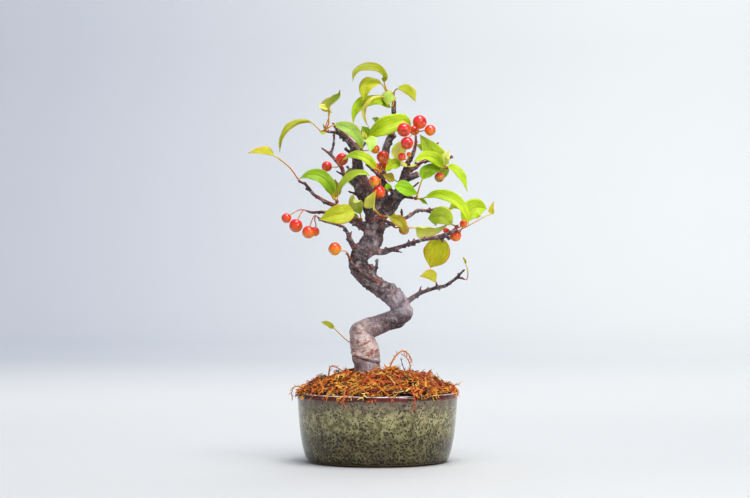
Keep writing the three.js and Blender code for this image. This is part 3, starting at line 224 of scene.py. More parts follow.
# Each limb has the points of its centre line from its parent outwards, each with a radius in mm.
LIMBS = {
    "trunk_foot": [(371, 447, 0, 5), (369, 420, 0, 8), (368, 398, 0, 9.2), (367.5, 384, 0, 9.2),
        (367.5, 371, 0, 8.8), (367, 363, -1, 8.9), (366, 357, -1, 9.7), (365, 350, -2, 9.9),
        (361.5, 340, -3, 8.3), (360, 332, -3, 7)],
    "trunk_waist": [(360, 332, -3, 6.6), (366, 328.5, -2, 6.8), (374, 327, 0, 6.6), (387, 321.7, 3, 6.6),
        (396, 318.5, 5, 6.9), (402, 312, 5, 6.8)],
    "trunk_back": [(402, 313, 5, 6.6), (397.5, 301.5, 4, 6.8), (387.5, 292.7, 3, 6.8), (377.5, 286, 0, 6.2),
        (370, 281, -2, 6.1), (362, 273, -4, 6.3), (358.5, 264, -6, 6.5), (360, 254.5, -6, 6.4),
        (367, 248, -5, 6.7), (372.5, 240, -3, 6.9), (374.5, 231, 0, 6.9), (375.5, 222, 1, 7.1),
        (377, 212, 2, 7.6), (378, 204, 2, 6.6)],
    "leader_left": [(374, 213, 1, 5.8), (370, 205, 0, 6), (364, 193, -2, 5.7), (359, 180, -5, 4.7),
        (357.5, 168, -8, 3.9), (357, 158, -10, 3.6), (355, 149, -12, 3.1), (349, 141, -14, 2.7),
        (343, 134.5, -16, 2.2), (336, 128, -17, 1.5), (332.5, 122.5, -17, 0.9)],
    "leader_centre": [(378, 212, 3, 5.5), (382, 200, 6, 5), (380, 185, 9, 4), (382, 170, 12, 3.4),
        (385, 155, 14, 3.2), (387, 145, 15, 3), (391, 137, 16, 3), (394.5, 134, 15, 2.9)],
    "apex": [(388, 143, 15, 2), (391, 133, 15, 2), (394, 120, 14, 1.9), (394, 108, 12, 1.9),
        (394, 100.5, 10, 1.6)],
    "leader_right": [(380, 214, 1, 5.5), (388, 208, -1, 5.5), (395, 199, -4, 4.6), (401, 190, -5, 4),
        (404, 181, -6, 3.8), (405, 174, -7, 3), (408, 163, -8, 2.2), (413, 154, -9, 1.9),
        (415.5, 145, -9, 1.4), (416, 135, -9, 1)],
    "cut_stub": [(404, 179, -6, 2.8), (411, 177, -9, 2.8), (418.5, 174, -11, 2.6)],
    "twig_east": [(409, 168, -7, 1.4), (418, 164, -5, 1.1), (430, 161, -3, 1), (440, 163, -2, 1),
        (444, 166, -2, 0.9)],
    "twig_east_end": [(436, 162, -2.5, 0.9), (444, 161, 0, 1), (451, 157, 2, 1.2), (452, 155, 2, 1.1)],
    "twig_east_top": [(432, 161, -3, 0.8), (435, 152, 0, 0.8), (436, 145, 2, 1.1), (439, 142, 3, 0.7)],
    "branch_low": [(402, 306, 5, 2.6), (411, 299, 4, 2.2), (416, 295.5, 3, 2), (422, 292.5, 0, 1.7),
        (429, 290, -2, 1.6), (437, 287.5, -5, 1.7), (445, 286, -8, 1.6), (451, 282, -11, 1.4),
        (457, 277.5, -13, 1.4), (461, 273, -15, 1.1), (465, 269.5, -16, 0.8)],
    "branch_low_stub": [(456, 278, -13, 1.2), (460, 278, -13, 1), (465.5, 279.5, -12, 0.8)],
    "branch_low_spur": [(437, 288, -5, 1.3), (436.5, 283.5, -6, 0.9)],
    "branch_low_twig": [(418, 294, 2, 1), (420, 290, 2.5, 0.8), (421.5, 285.5, 3, 0.7)],
    "branch_east": [(372, 250, -6, 3.4), (383, 252, -8, 2.6), (390, 250, -10, 2.1), (400, 247, -13, 1.7),
        (410, 243.5, -16, 1.6), (420, 240.5, -19, 1.5), (430, 238.5, -21, 1.7), (440, 236.5, -23, 1.9),
        (450, 232.5, -24, 1.7), (458, 230.5, -25, 1.3)],
    "branch_east_thorn": [(392, 250.5, -11, 1.1), (402.5, 252.5, -13, 0.6)],
    "branch_east_stub": [(442, 237, -23, 1.4), (443, 243, -23.5, 0.9)],
    "branch_east_spur": [(451, 232.5, -24, 1.3), (455, 228.5, -23.5, 1)],
    "leaf_peg_east": [(440, 237, -23, 1.2), (441, 239.5, -21.3, 0.9)],
    "twig_front": [(374, 226, -4, 2.2), (381, 220.5, -9, 1.5), (388, 222, -12, 1.5), (392, 224.5, -14, 1.3),
        (394.5, 227, -15.8, 1.2)],
    "twig_front_spur": [(380, 221, -9, 1.2), (381.3, 218.8, -9.8, 1)],
    "branch_back": [(377, 227, 4, 2.4), (386, 226, 9, 1.9), (395, 222, 12, 1.6), (403, 219, 15, 1.6),
        (410, 216, 18, 1.6), (418, 210, 20, 1.4), (425, 210.5, 21, 1.3), (433, 209.5, 22, 1.1),
        (443, 207.5, 23, 1.1), (450, 209, 23, 0.8)],
    "branch_back_twig": [(401.5, 219.5, 14.5, 1.2), (402, 213, 14, 1.1), (401.5, 208.5, 13.5, 0.9)],
    "branch_back_run": [(424, 210.5, 21, 1.2), (434, 213, 29, 1.1), (444, 213, 37, 0.9)],
    "twig_bud": [(396, 197, -4, 1.9), (403, 196.5, -6, 1.6), (408, 197, -8, 1.4), (413.5, 198, -9.5, 1.4)],
    "twig_dark": [(401, 191, -5, 1.2), (411, 188.5, -6, 0.9), (419, 182, -6, 0.9)],
    "twig_cross": [(396, 199, -6, 2.2), (391, 190, -9, 1.7), (385, 182, -11, 1.4), (378, 175, -12, 1.3),
        (371, 168.5, -12.5, 1.1), (365.5, 164, -13, 1)],
    "twig_cross_spur": [(380, 176.5, -11.7, 1), (381.2, 174, -13, 0.9)],
    "branch_west": [(369, 231, 0, 3.2), (360, 223, -4, 2.6), (352, 220, -7, 2.3), (345, 217.5, -9, 2),
        (338.5, 213, -11, 1.9), (335, 206, -13, 1.8), (328, 203, -14, 1.9), (320, 198.5, -15, 1.6),
        (312, 193, -16, 1.4), (309, 188, -17, 1.3), (305, 184, -17, 1.2), (300, 181.5, -18, 1.1),
        (298, 179, -18, 0.9)],
    "branch_west_over": [(367, 227, -4, 1.8), (360, 221, -8, 1.5), (353, 217.5, -10.5, 1.4),
        (348, 217, -12, 1.1)],
    "branch_west_under": [(368, 233, -4, 1.6), (361, 228, -6, 1.5), (353, 223, -9, 1.3),
        (345, 219, -10, 1.2)],
    "branch_west_spur": [(335.5, 207, -13, 1.4), (336.3, 203.8, -13.8, 1.1)],
    "branch_west_run": [(345, 217.5, -9, 1.7), (335, 214.5, -5, 1.4), (320, 212, 0, 1.4),
        (312, 212.5, 2, 1.3), (306, 210.5, 4, 1)],
    "branch_hook": [(361, 251, -7, 3), (354.5, 247, -10, 2.5), (350, 240, -11, 2.2), (347, 232, -12, 1.5),
        (343.5, 227, -12, 1.2), (332, 223.5, -12, 1.1), (322, 220.5, -12, 1), (317.5, 217, -12, 1)],
    "branch_hook_cut": [(352, 243, -11, 1.9), (347, 238, -12.5, 1.8)],
    "branch_fork": [(360, 187, -3, 2.8), (354, 183, -1, 2.2), (350, 180, 0, 1.9), (344, 175.5, 2, 1.8),
        (342, 168, 4, 1.8), (336, 160.5, 6, 1.6), (330, 154, 8, 1.4), (321, 147.5, 10, 0.8)],
    "branch_fork_up": [(330.5, 154.5, 7.5, 1.3), (333.5, 145, 8, 1.2), (334.3, 132.8, 8, 1.1)],
    "branch_fork_stub": [(345, 176, 2, 1.1), (336, 171, 0, 0.8)],
    "leader_left_stub_middle": [(353, 154, -11, 1.6), (344, 148.5, -10, 1.1)],
    "leader_left_stub_low": [(361, 196, -3, 1.4), (348, 191, -6, 0.8)],
    "leader_left_stub_top": [(348, 139, -15, 1.5), (339, 136.5, -14, 1)],
    "tip_west": [(344, 135.5, -16, 1.6), (335, 132.5, -18, 1.4), (329, 131.8, -19, 1.3),
        (327, 131.5, -19.3, 1.2)],
    "peg_upper": [(357, 156, -10, 1.5), (362, 148, -9, 1), (366, 142.5, -8, 0.9)],
    "peg_inner": [(408, 167, -8, 1.4), (406, 166.2, -10.6, 0.9)],
    "peg_fork": [(341, 167.5, 4.2, 1.4), (340.3, 167, 2.4, 0.9)],
    "twig_wrap": [(378, 284, -2, 1.6), (373, 280.5, -8, 1.2), (367, 276, -10.5, 1), (360, 270.5, -12.5, 1),
        (353, 264, -14, 0.9), (350, 258, -15, 0.8)],
    "knob": [(374, 277, -3, 2.6), (372, 269, -5, 2), (371, 264, -6, 1.9)],
    "knob_twig": [(374.5, 274, -3, 1.7), (376.5, 266, -5, 1.2), (377.5, 258.5, -6, 1.2)],
    "rear_low": [(362, 258, -2, 3.4), (365, 254, 8, 2.6), (370, 246, 18, 2.1), (374, 236, 27, 1.6),
        (373, 225, 35, 1.3), (370, 218, 41, 1)],
    "rear_low_twig": [(372, 240, 23, 1.4), (378, 233, 27, 1.1), (381, 226, 33, 0.9)],
    "rear_mid": [(380, 203, 5, 3.2), (378, 197, 15, 2.3), (372, 188, 24, 1.7), (366, 177, 31, 1.3),
        (362, 168, 36, 1)],
    "rear_mid_twig": [(373.5, 190, 22, 1.5), (380, 184, 29, 1.1), (383, 176, 34, 0.9)],
    "rear_east": [(406, 172, -5, 2), (415, 168, 6, 1.7), (423, 160, 16, 1.4), (427, 153.5, 25, 1.2),
        (427, 148.5, 31, 0.9)],
    "rear_east_twig": [(423.5, 159, 17, 1.2), (431, 160, 25, 1), (434, 164, 31, 0.9)],
    "rear_top": [(393.5, 125, 13, 1.6), (389.5, 123, 20, 1.3), (384.5, 122, 28, 1)],
    "rear_west": [(336, 214.5, -5.5, 1.3), (334, 219, 6, 1.2), (331, 217, 17, 1)],
}

SPRAYS = [
    Spray("leaves_crown", on="apex", leaves=[
        Leaf(Tint.OLIVE_DEEP, 3.9, (0.1, -0.75, 0.65), [(384.3, 82, 1), (384.2, 75.5, -1), (378.5, 69.5, -4),
            (370, 67, -7), (361, 68.5, -9), (354.5, 73, -11), (352.8, 81, -12)], stalk=[(388, 92, 5),
            (385.5, 87, 2)]),
        Leaf(Tint.OLIVE_GOLD, 5.4, (-0.2, -0.85, 0.5), [(380.5, 83, 0), (373, 82.5, -4), (367, 86, -7),
            (364.5, 93, -9), (364, 101, -10)], stalk=[(387, 93, 4), (384, 87, 1)]),
        Leaf(Tint.LIME, 5, (0.1, -0.8, 0.6), [(390.5, 107, 2), (381, 101, -1), (370, 101.5, -4),
            (361, 104.5, -6), (355, 111.5, -7), (352.8, 124, -8)], stalk=[(393, 105, 4)]),
        Leaf(Tint.PALE_GOLD, 1.7, (0, -0.6, 0.8), [(382, 96.8, -4), (374, 97.5, -10), (368.5, 102, -12),
            (364, 111, -12), (365, 120, -12), (368.9, 127.4, -11)], stalk=[(389, 96, 3)]),
        Leaf(Tint.GREY_GREEN, 5.2, (0.15, 0.95, 0.1), [(392, 92.5, 3), (389, 96.5, -2), (387.5, 105, -6)]),
        Leaf(Tint.OLIVE_GOLD, 6.4, (0.42, 0.7, 0.57), [(398.2, 88.4, 4), (407, 94, 1), (415.6, 101.4, -2)],
            stalk=[(394.5, 91.5, 7)], fold=0.785, belly=0.47),
    ]),
    Spray("leaves_tip_west", on="tip_west", leaves=[
        Leaf(Tint.FOLDED, 5.2, (-0.3, -0.8, 0.5), [(328.7, 112, -20), (329, 106.5, -22), (334, 101, -25),
            (339, 95.5, -27), (340, 89.5, -28)], stalk=[(328.5, 124, -20), (328.7, 118, -20)], fold=0.5,
            belly=0.22),
        Leaf(Tint.OLIVE, 3.6, (-0.25, -0.6, 0.75), [(311, 122.4, -20), (299, 123.5, -23), (289, 130, -26),
            (282, 140, -28), (279.6, 152, -29)], stalk=[(321, 131, -20), (316, 126.5, -20)], fold=0.8),
        Leaf(Tint.GREY_GREEN, 5, (0.2, -0.85, 0.45), [(335, 125, -21), (344, 126.8, -23.5),
            (352.5, 131.8, -25), (359, 140, -25), (363, 150.8, -24)], stalk=[(330.5, 126.5, -22)]),
        Leaf(Tint.PALE_YELLOW, 2.1, (-0.1, -0.95, 0.3), [(330, 108.5, -20.5), (324.5, 107, -21.5),
            (317.3, 104.8, -23)]),
        Leaf(Tint.RUSSET, 0.7, (0, -1, 0.2), [(325.5, 131, -20), (324.3, 127.5, -20.5), (323, 123.3, -21)]),
        Leaf(Tint.SPRING, 1.2, (0, -0.8, 0.6), [(325, 132, -21), (322.5, 133.3, -22), (319.5, 131.5, -23)]),
    ]),
    Spray("leaves_upper", on="peg_upper", leaves=[
        Leaf(Tint.LIME, 6.9, (0.1, -0.92, 0.35), [(370, 135.3, -8), (381, 128.5, -11), (393, 124, -10.5),
            (404, 120.5, -9), (411.5, 127.5, -8)], stalk=[(366.5, 138.5, -8)]),
        Leaf(Tint.MINT, 4.3, (0.1, -0.85, 0.5), [(366.8, 139, -10), (371, 142, -15), (370.3, 152, -18)]),
        Leaf(Tint.GREEN, 4, (0.1, -0.9, 0.3), [(366, 138, -5), (365, 131.5, -4), (362, 126, -4)]),
        Leaf(Tint.PALE_YELLOW, 1.8, (-0.3, -0.9, 0.3), [(366, 139.5, -9.5), (364.5, 135.5, -12),
            (362, 130.5, -13)]),
    ]),
    Spray("leaves_cross", on="twig_cross_spur", leaves=[
        Leaf(Tint.SPRING, 3.7, (-0.1, -0.85, 0.5), [(376, 168.5, -16), (370, 161.5, -18), (362, 156.5, -19),
            (352, 155.3, -20), (342, 160.4, -21)], stalk=[(379.5, 170.5, -15)]),
    ]),
    Spray("leaves_west", on="branch_west_spur", leaves=[
        Leaf(Tint.GREEN, 5.3, (0.05, -0.88, 0.5), [(332, 194, -17), (328.5, 184.5, -20), (320, 176.8, -22),
            (309.5, 175, -22), (299.5, 178.5, -21)], stalk=[(333, 198.5, -16)]),
        Leaf(Tint.DULL, 3.1, (-0.2, -0.85, 0.5), [(338.5, 193, -16), (342, 184, -18), (349.5, 176.8, -20),
            (357.5, 173, -21), (364.5, 173, -22), (370.5, 176.3, -22)], stalk=[(337.5, 198, -15)]),
        Leaf(Tint.RUSSET, 4.7, (0.2, -0.95, 0.2), [(335, 198, -14), (334.5, 188, -12.5), (335, 179, -11)]),
    ]),
    Spray("leaf_far_west", on="branch_west", leaves=[
        Leaf(Tint.GOLD, 4.8, (0, 0.7, 0.7), [(273.1, 155.2, -22), (262, 153.3, -23), (248, 152.7, -25)],
            stalk=[(291, 169, -19), (282, 161, -21)], fold=0.785, belly=0.4),
    ]),
    Spray("leaf_broad_west", on="branch_west_over", leaves=[
        Leaf(Tint.OLIVE_GOLD, 7.3, (0, -0.95, 0.25), [(352, 209.3, -18.5), (343, 214.3, -22), (332, 216, -23),
            (319, 219.8, -23)], stalk=[(350.5, 213, -15.5)], belly=0.4),
    ]),
    Spray("leaf_folded_west", root=(361, 219.3, -10.2), leaves=[
        Leaf(Tint.PALE_TIP, 4.8, (-0.3, -0.9, 0.25), [(360.3, 214, -13), (357.5, 206.5, -15),
            (355, 199.5, -18), (354, 197.3, -22)], belly=0.5),
        Leaf(Tint.SPRING, 2.0, (0.2, -0.9, 0.4), [(358.5, 219.5, -8), (354, 215.5, -8.5),
            (349.5, 211.5, -9)]),
    ]),
    Spray("leaves_front", on="twig_front_spur", leaves=[
        Leaf(Tint.PALE_YELLOW, 7.2, (-0.7, -0.7, 0), [(374, 207.6, -17), (374.5, 199, -19),
            (376.2, 190, -20.5)], stalk=[(378, 213.5, -14)], fold=0.785, belly=0.2),
        Leaf(Tint.RUSSET, 4, (0, -0.95, 0.2), [(389.5, 216.8, -14), (396, 219.5, -17), (402, 224, -18.5),
            (404.5, 234.5, -19)], stalk=[(385, 216, -13)], belly=0.5),
    ]),
    Spray("leaf_front_east", on="twig_front", leaves=[
        Leaf(Tint.PALE_LIME, 7.4, (0, -0.7, -0.7), [(416, 227.6, -12), (427, 227.6, -12), (438, 228, -13),
            (449, 223.5, -15)], stalk=[(400, 227.3, -14.5), (408, 227.8, -13)], fold=0.785, belly=0.18),
    ]),
    Spray("leaves_bend_east", on="branch_east_spur", leaves=[
        Leaf(Tint.DULL, 7.3, (0.1, -0.95, 0.2), [(452, 224.5, -19), (441, 217, -11), (428, 218.6, -6)],
            belly=0.5),
        Leaf(Tint.LIME, 7.4, (-0.1, -0.95, 0.25), [(463, 222.5, -17), (470, 212.5, -15), (478, 207.8, -13.5),
            (487, 209, -12.5)], stalk=[(459.5, 227.5, -19)], belly=0.5),
    ]),
    Spray("leaf_long_east", on="branch_east", leaves=[
        Leaf(Tint.GOLD, 2.1, (-0.3, -0.9, 0.2), [(491, 213.8, -30), (491.8, 208.5, -30), (493.7, 201, -30)],
            stalk=[(467, 226.5, -28), (477, 221, -29), (486, 216, -30)], belly=0.25),
    ]),
    Spray("leaf_round_east", on="leaf_peg_east", leaves=[
        Leaf(Tint.YELLOW_OLIVE, 9.3, (0.05, -0.97, 0.2), [(440.5, 237, -18), (437, 251, -15.5),
            (430.5, 267.8, -12)], belly=0.52),
    ]),
    Spray("leaf_low_branch", on="branch_low_spur", leaves=[
        Leaf(Tint.GOLD, 6.6, (0.25, 0.7, 0.66), [(435.3, 281.6, -9), (428.5, 278.5, -11), (420, 276.3, -13)],
            fold=0.785, belly=0.44),
    ]),
    Spray("leaf_low_tip", on="branch_low_stub", leaves=[
        Leaf(Tint.GOLD, 0.9, (-0.4, -0.9, 0.1), [(466, 264, -13.5), (465, 260.5, -14), (463, 257, -14)],
            stalk=[(468, 274, -13.8), (467.2, 268, -13.8)]),
    ]),
    Spray("leaf_trunk", root=(348.8, 342, -3.5), leaves=[
        Leaf(Tint.OLIVE, 2.3, (-0.1, -0.8, 0.6), [(334, 328.5, -8), (328, 324.5, -9.5), (321, 322, -11)],
            stalk=[(343, 337, -6)]),
    ]),
    Spray("leaves_bud_east", on="twig_bud", leaves=[
        Leaf(Tint.BRIGHT_GREEN, 5.4, (0.1, -0.92, 0.35), [(417.5, 194.8, -13), (410.5, 191.5, -15),
            (402.5, 187.8, -17), (394, 186.8, -18.5)], belly=0.6),
        Leaf(Tint.GREEN, 1.6, (0, -0.8, 0.6), [(419.5, 198.5, -12), (423, 201, -14), (427.6, 204.6, -15)]),
        Leaf(Tint.DEEP_GREEN, 4.9, (0.1, -0.9, 0.4), [(422.5, 179, -13), (426, 173, -11), (433, 169.3, -9),
            (442.5, 170.3, -7)], stalk=[(418.5, 190.5, -13), (420.5, 184, -14)]),
        Leaf(Tint.YELLOW_LIME, 4.5, (0.2, -0.88, 0.45), [(426, 197.2, -16), (436, 194.3, -19),
            (446, 196, -22.5), (455, 200.3, -25.5), (462.5, 207.5, -28), (467, 216, -29.5),
            (468.3, 225, -30)], stalk=[(420.5, 199, -13)]),
    ]),
    Spray("leaves_far_east", on="twig_east", leaves=[
        Leaf(Tint.SPRING, 6.7, (0.15, -0.93, 0.3), [(445, 164.5, -5), (436.5, 156.5, -6.5),
            (427.5, 146.5, -8), (420, 134.5, -9)]),
        Leaf(Tint.YELLOW_LIME, 4.5, (-0.1, -0.85, 0.5), [(443.5, 166.8, -8), (434, 158.5, -13),
            (424, 156.5, -16), (413.5, 162.5, -18)]),
        Leaf(Tint.LIME, 3.7, (0.3, -0.8, 0.5), [(448, 166.2, -3.5), (455, 169, -7), (462, 177.5, -10),
            (467.3, 191.5, -12)]),
        Leaf(Tint.PALE_LIME, 3.4, (-0.2, -0.95, 0.2), [(445.5, 164.5, -7), (445.5, 158, -11),
            (449.5, 150.3, -12)]),
    ]),
    Spray("leaves_inner", on="peg_inner", leaves=[
        Leaf(Tint.PALE_LIME, 5, (0.1, -0.95, 0.25), [(397, 158.5, -12), (399.5, 149.5, -11.5),
            (407.5, 139, -10.5)], stalk=[(401, 163, -12)]),
        Leaf(Tint.YELLOW_LIME, 3.9, (0, -0.9, 0.4), [(400.5, 165, -13), (393, 164.5, -14.5),
            (385, 171.5, -15)]),
        Leaf(Tint.PALE_LIME, 1.3, (0.1, -0.95, 0.3), [(407, 166, -14), (403.5, 164, -15), (398, 159, -15)]),
        Leaf(Tint.PALE_LIME, 1.0, (0, -0.8, 0.6), [(409, 166.5, -13), (413, 165.8, -14), (417, 164.6, -14)]),
    ]),
    Spray("leaf_inner_low", root=(397, 181.5, -8.5), leaves=[
        Leaf(Tint.RUSSET, 3.4, (0.1, -0.9, 0.4), [(394.3, 179.6, -11.5), (389, 177.3, -13.5),
            (382.5, 174.5, -13.5)]),
    ]),
    Spray("leaf_inner_small", root=(388.8, 191.6, -11.3), leaves=[
        Leaf(Tint.BRIGHT_GREEN, 2.6, (0.1, -0.9, 0.3), [(388, 189.5, -13.5), (387.8, 186.5, -14),
            (386.8, 183, -14)]),
    ]),
    Spray("leaves_rear_low", on="rear_low", leaves=[
        Leaf(Tint.GREEN, 5.5, (0.1, 0.8, 0.6), [(367, 208, 45), (368, 199, 47), (374, 192, 45)],
            stalk=[(368, 212, 44)]),
        Leaf(Tint.LIME, 5.5, (0.1, 0.6, 0.8), [(377, 212, 49), (386, 210, 53), (396, 216, 54)],
            stalk=[(373, 214, 46)]),
        Leaf(Tint.OLIVE, 5.2, (0.1, 0.9, 0.3), [(370, 224, 49), (372, 232, 53), (374, 243, 52)],
            stalk=[(370, 220, 46)]),
    ]),
    Spray("leaves_rear_low_side", on="rear_low_twig", leaves=[
        Leaf(Tint.LIME, 4.5, (0.2, 0.3, 0.9), [(384, 221, 35), (389, 215, 37), (395, 212, 36)]),
        Leaf(Tint.GREEN, 4.5, (0.2, -0.6, 0.7), [(371, 219, 25), (366.5, 213, 20), (366, 204, 17)],
            stalk=[(376, 222, 30)]),
    ]),
    Spray("leaves_rear_mid", on="rear_mid", leaves=[
        Leaf(Tint.OLIVE, 5, (-0.2, 0.8, 0.5), [(360, 160, 40), (356, 152, 41), (357, 141, 38)],
            stalk=[(360, 163, 39)]),
        Leaf(Tint.GREEN, 5, (-0.1, 0.9, 0.4), [(355, 169, 42), (352, 176, 45), (353, 187, 45)],
            stalk=[(358, 167, 40)]),
    ]),
    Spray("leaves_rear_mid_side", on="rear_mid_twig", leaves=[
        Leaf(Tint.LIME, 4.8, (0.1, 0.9, 0.4), [(385, 171, 36), (386, 163, 38), (384, 154, 36)]),
    ]),
    Spray("leaves_rear_east", on="rear_east", leaves=[
        Leaf(Tint.LIME, 4.2, (0.1, 0.5, 0.85), [(428, 147, 34), (430, 149.5, 41), (432, 156, 46)]),
        Leaf(Tint.YELLOW_LIME, 4, (0, 0.4, 0.9), [(426, 147, 34), (422, 146, 41), (421.5, 151, 48)]),
    ]),
    Spray("leaves_rear_east_side", on="rear_east_twig", leaves=[
        Leaf(Tint.GREEN, 5, (0.2, 0.8, 0.5), [(441, 167, 35), (442, 172, 41), (440, 181, 44)]),
        Leaf(Tint.OLIVE_GOLD, 4.6, (-0.1, 0.6, 0.8), [(436, 167, 33), (430, 171, 33), (424, 178, 31)]),
    ]),
    Spray("leaves_rear_top", on="rear_top", leaves=[
        Leaf(Tint.GREEN, 4.6, (0, 0.4, 0.9), [(382, 120, 33), (378.5, 120, 41), (377, 124, 49)]),
        Leaf(Tint.OLIVE, 4.6, (-0.1, 0.4, 0.9), [(386, 119.5, 34), (390.5, 119, 41), (394, 123, 48)]),
    ]),
    Spray("leaves_rear_west", on="rear_west", leaves=[
        Leaf(Tint.OLIVE_GOLD, 5.2, (-0.1, 0.4, 0.9), [(329, 214, 21), (328, 211, 28), (330, 216, 35)]),
        Leaf(Tint.GREEN, 4.6, (0.2, 0.4, 0.9), [(333, 214, 19), (341, 211, 22), (346, 218, 26)]),
    ]),
    Spray("leaves_rear_branch", on="branch_back_run", leaves=[
        Leaf(Tint.LIME, 5.4, (0.2, 0.4, 0.9), [(448, 211, 40), (456, 207, 42), (464, 212, 43)]),
        Leaf(Tint.GOLD, 5.4, (0, 0.7, 0.7), [(445, 214, 41), (442, 216, 48), (440, 224, 54)]),
    ]),
]

BUNCHES = [
    Bunch("fruit_west_end", on="branch_west_run", fruits=[
        Fruit(Ripeness.RED, (286.5, 218, 0), 3.4, (-0.6, -0.3, -0.75), stalk=[(299, 210, 3),
            (294, 212.5, 1)]),
        Fruit(Ripeness.RED, (296, 225.5, -3), 4.6, (-0.2, -0.3, -0.9), stalk=[(301.5, 212.5, 2),
            (299.5, 216, -1)]),
    ]),
    Bunch("fruit_west_hook", on="branch_hook", fruits=[
        Fruit(Ripeness.ORANGE_RED, (308.5, 232, -14), 4.3, (-0.2, -0.3, -0.9), stalk=[(313.5, 217, -13.5),
            (311.3, 222, -14)]),
        Fruit(Ripeness.ORANGE_RED, (314.3, 231.5, -8.5), 3.5, (0, 0, -1), stalk=[(314.8, 220.5, -11),
            (316, 226, -9.5)]),
    ]),
    Bunch("fruit_waist", on="twig_wrap", fruits=[
        Fruit(Ripeness.ORANGE, (335, 249, -20), 4.4, (-0.75, -0.2, 0.6), stalk=[(346, 251.5, -18),
            (342, 250.8, -19.5)]),
    ]),
    Bunch("fruit_fork", on="peg_fork", fruits=[
        Fruit(Ripeness.RED, (327, 166.5, 5), 3.6, (-0.9, -0.3, 0.1), stalk=[(337, 167, 2), (333.5, 167, 4)]),
        Fruit(Ripeness.RED, (342, 159, -4), 4.2, (0.1, -0.85, -0.5), stalk=[(342, 166, -0.5)]),
    ]),
    Bunch("fruit_heart", root=(379.6, 172.2, -10), fruits=[
        Fruit(Ripeness.ORANGE_RED, (383, 157, -4), 4.3, (-0.1, -0.95, -0.1), stalk=[(382, 166, -5),
            (383.5, 161, 0.2)]),
        Fruit(Ripeness.RED, (384.5, 165.5, 3), 3.7, (0.2, 0.7, 0.5), stalk=[(383, 170, -5)]),
        Fruit(Ripeness.ORANGE_RED, (375.5, 167, -5), 2.8, (-0.7, -0.3, 0.6)),
    ]),
    Bunch("fruit_heart_low", root=(379.6, 179.3, -14.2), fruits=[
        Fruit(Ripeness.ORANGE, (374.5, 181, -18), 3.6, (-0.6, -0.7, 0.1)),
        Fruit(Ripeness.RED, (379, 192, -14.5), 4.3, (0, -0.4, -0.9), stalk=[(380.8, 183, -14.5)]),
    ]),
    Bunch("fruit_upper", root=(362.8, 150.8, -10), fruits=[
        Fruit(Ripeness.ORANGE, (375, 149, -5), 3.1, (0.7, -0.4, -0.4), stalk=[(367, 150.5, -8)]),
    ]),
    Bunch("fruit_leader", on="leader_right", fruits=[
        Fruit(Ripeness.CRIMSON, (404, 129.5, -19), 4.7, (0, -0.85, -0.5), stalk=[(413, 129.5, -10),
            (409, 126, -13.5)]),
        Fruit(Ripeness.CRIMSON, (407, 143, -19), 4.3, (0.05, -0.9, -0.4), stalk=[(413.5, 133, -12),
            (410.5, 136, -15)]),
        Fruit(Ripeness.CRIMSON, (419.5, 122, -13), 4.7, (0.65, -0.75, -0.05), stalk=[(416.5, 128, -9.5)]),
        Fruit(Ripeness.ORANGE_RED, (430, 130, -11), 3.8, (0.75, -0.3, -0.5), stalk=[(420, 131.5, -8),
            (425, 130, -9)]),
        Fruit(Ripeness.ORANGE_RED, (414.6, 130.5, -3), 3.4, (-0.2, 0.9, 0.2)),
    ]),
    Bunch("fruit_far_east", root=(440.5, 166.5, -2.5), fruits=[
        Fruit(Ripeness.TURNING, (439.5, 177, -5), 3.4, (0, -0.6, -0.8), stalk=[(442, 172, -2)]),
    ]),
    Bunch("fruit_middle", root=(402.5, 221.3, 12.5), fruits=[
        Fruit(Ripeness.GREEN, (404, 229.5, 2), 3.6, (0, -0.2, -0.95), stalk=[(403.5, 222.5, 6)]),
    ]),
    Bunch("fruit_bend_east", root=(460.3, 231.7, -22.8), fruits=[
        Fruit(Ripeness.ORANGE_RED, (455.5, 235.5, -17.5), 4, (-0.2, 0.3, -0.9), stalk=[(460, 233, -20.5)]),
        Fruit(Ripeness.ORANGE_RED, (463.5, 224, -22), 2.6, (0.2, 0, 0.95)),
    ]),
    Bunch("fruit_bud_red", root=(448.8, 229.2, -22.3), fruits=[
        Fruit(Ripeness.CRIMSON, (446, 230.5, -19.5), 1.9, (-0.6, 0.3, -0.7)),
    ]),
    Bunch("fruit_inner", root=(407.6, 160.5, -12.3), fruits=[
        Fruit(Ripeness.RED, (402, 156.8, -17), 2.7, (-0.3, -0.8, 0.3)),
        Fruit(Ripeness.ORANGE, (409, 154.5, -14.5), 1.7, (0.2, -0.5, 0.8)),
    ]),
]

# Snags and thorns too slight for the solids, as the limbs are given.
SNAGS = [
    [(408, 244, -15, 1), (409, 239, -16, 0.6)],
    [(412, 243, -16, 1), (414.5, 238, -17, 0.6)],
    [(408, 245, -15, 1), (416, 245.5, -17, 0.7)],
    [(310, 190.5, -16.5, 1.1), (305, 189, -17, 0.8)],
    [(350, 238, -11, 1.1), (351.5, 231, -11, 0.6)],
    [(376, 279, -3, 1.3), (382.5, 278, -4, 0.8)],
    [(377, 174, -11.5, 1), (374, 170, -12, 0.9), (371, 165.5, -12, 0.7)],
    [(354, 173, -8, 1.3), (346, 166, -6, 0.9)],
    [(355, 266, -9, 1.6), (350, 259, -11, 1.3), (347, 252.5, -11, 1)],
    [(394, 115, 11, 2.1), (393.8, 107, 11, 2), (394.2, 100.5, 11, 1.9)],
    [(444, 235.2, -23.4, 1.4), (448, 237.3, -22.4, 1.4), (450.5, 239.5, -22, 1.1)],
]

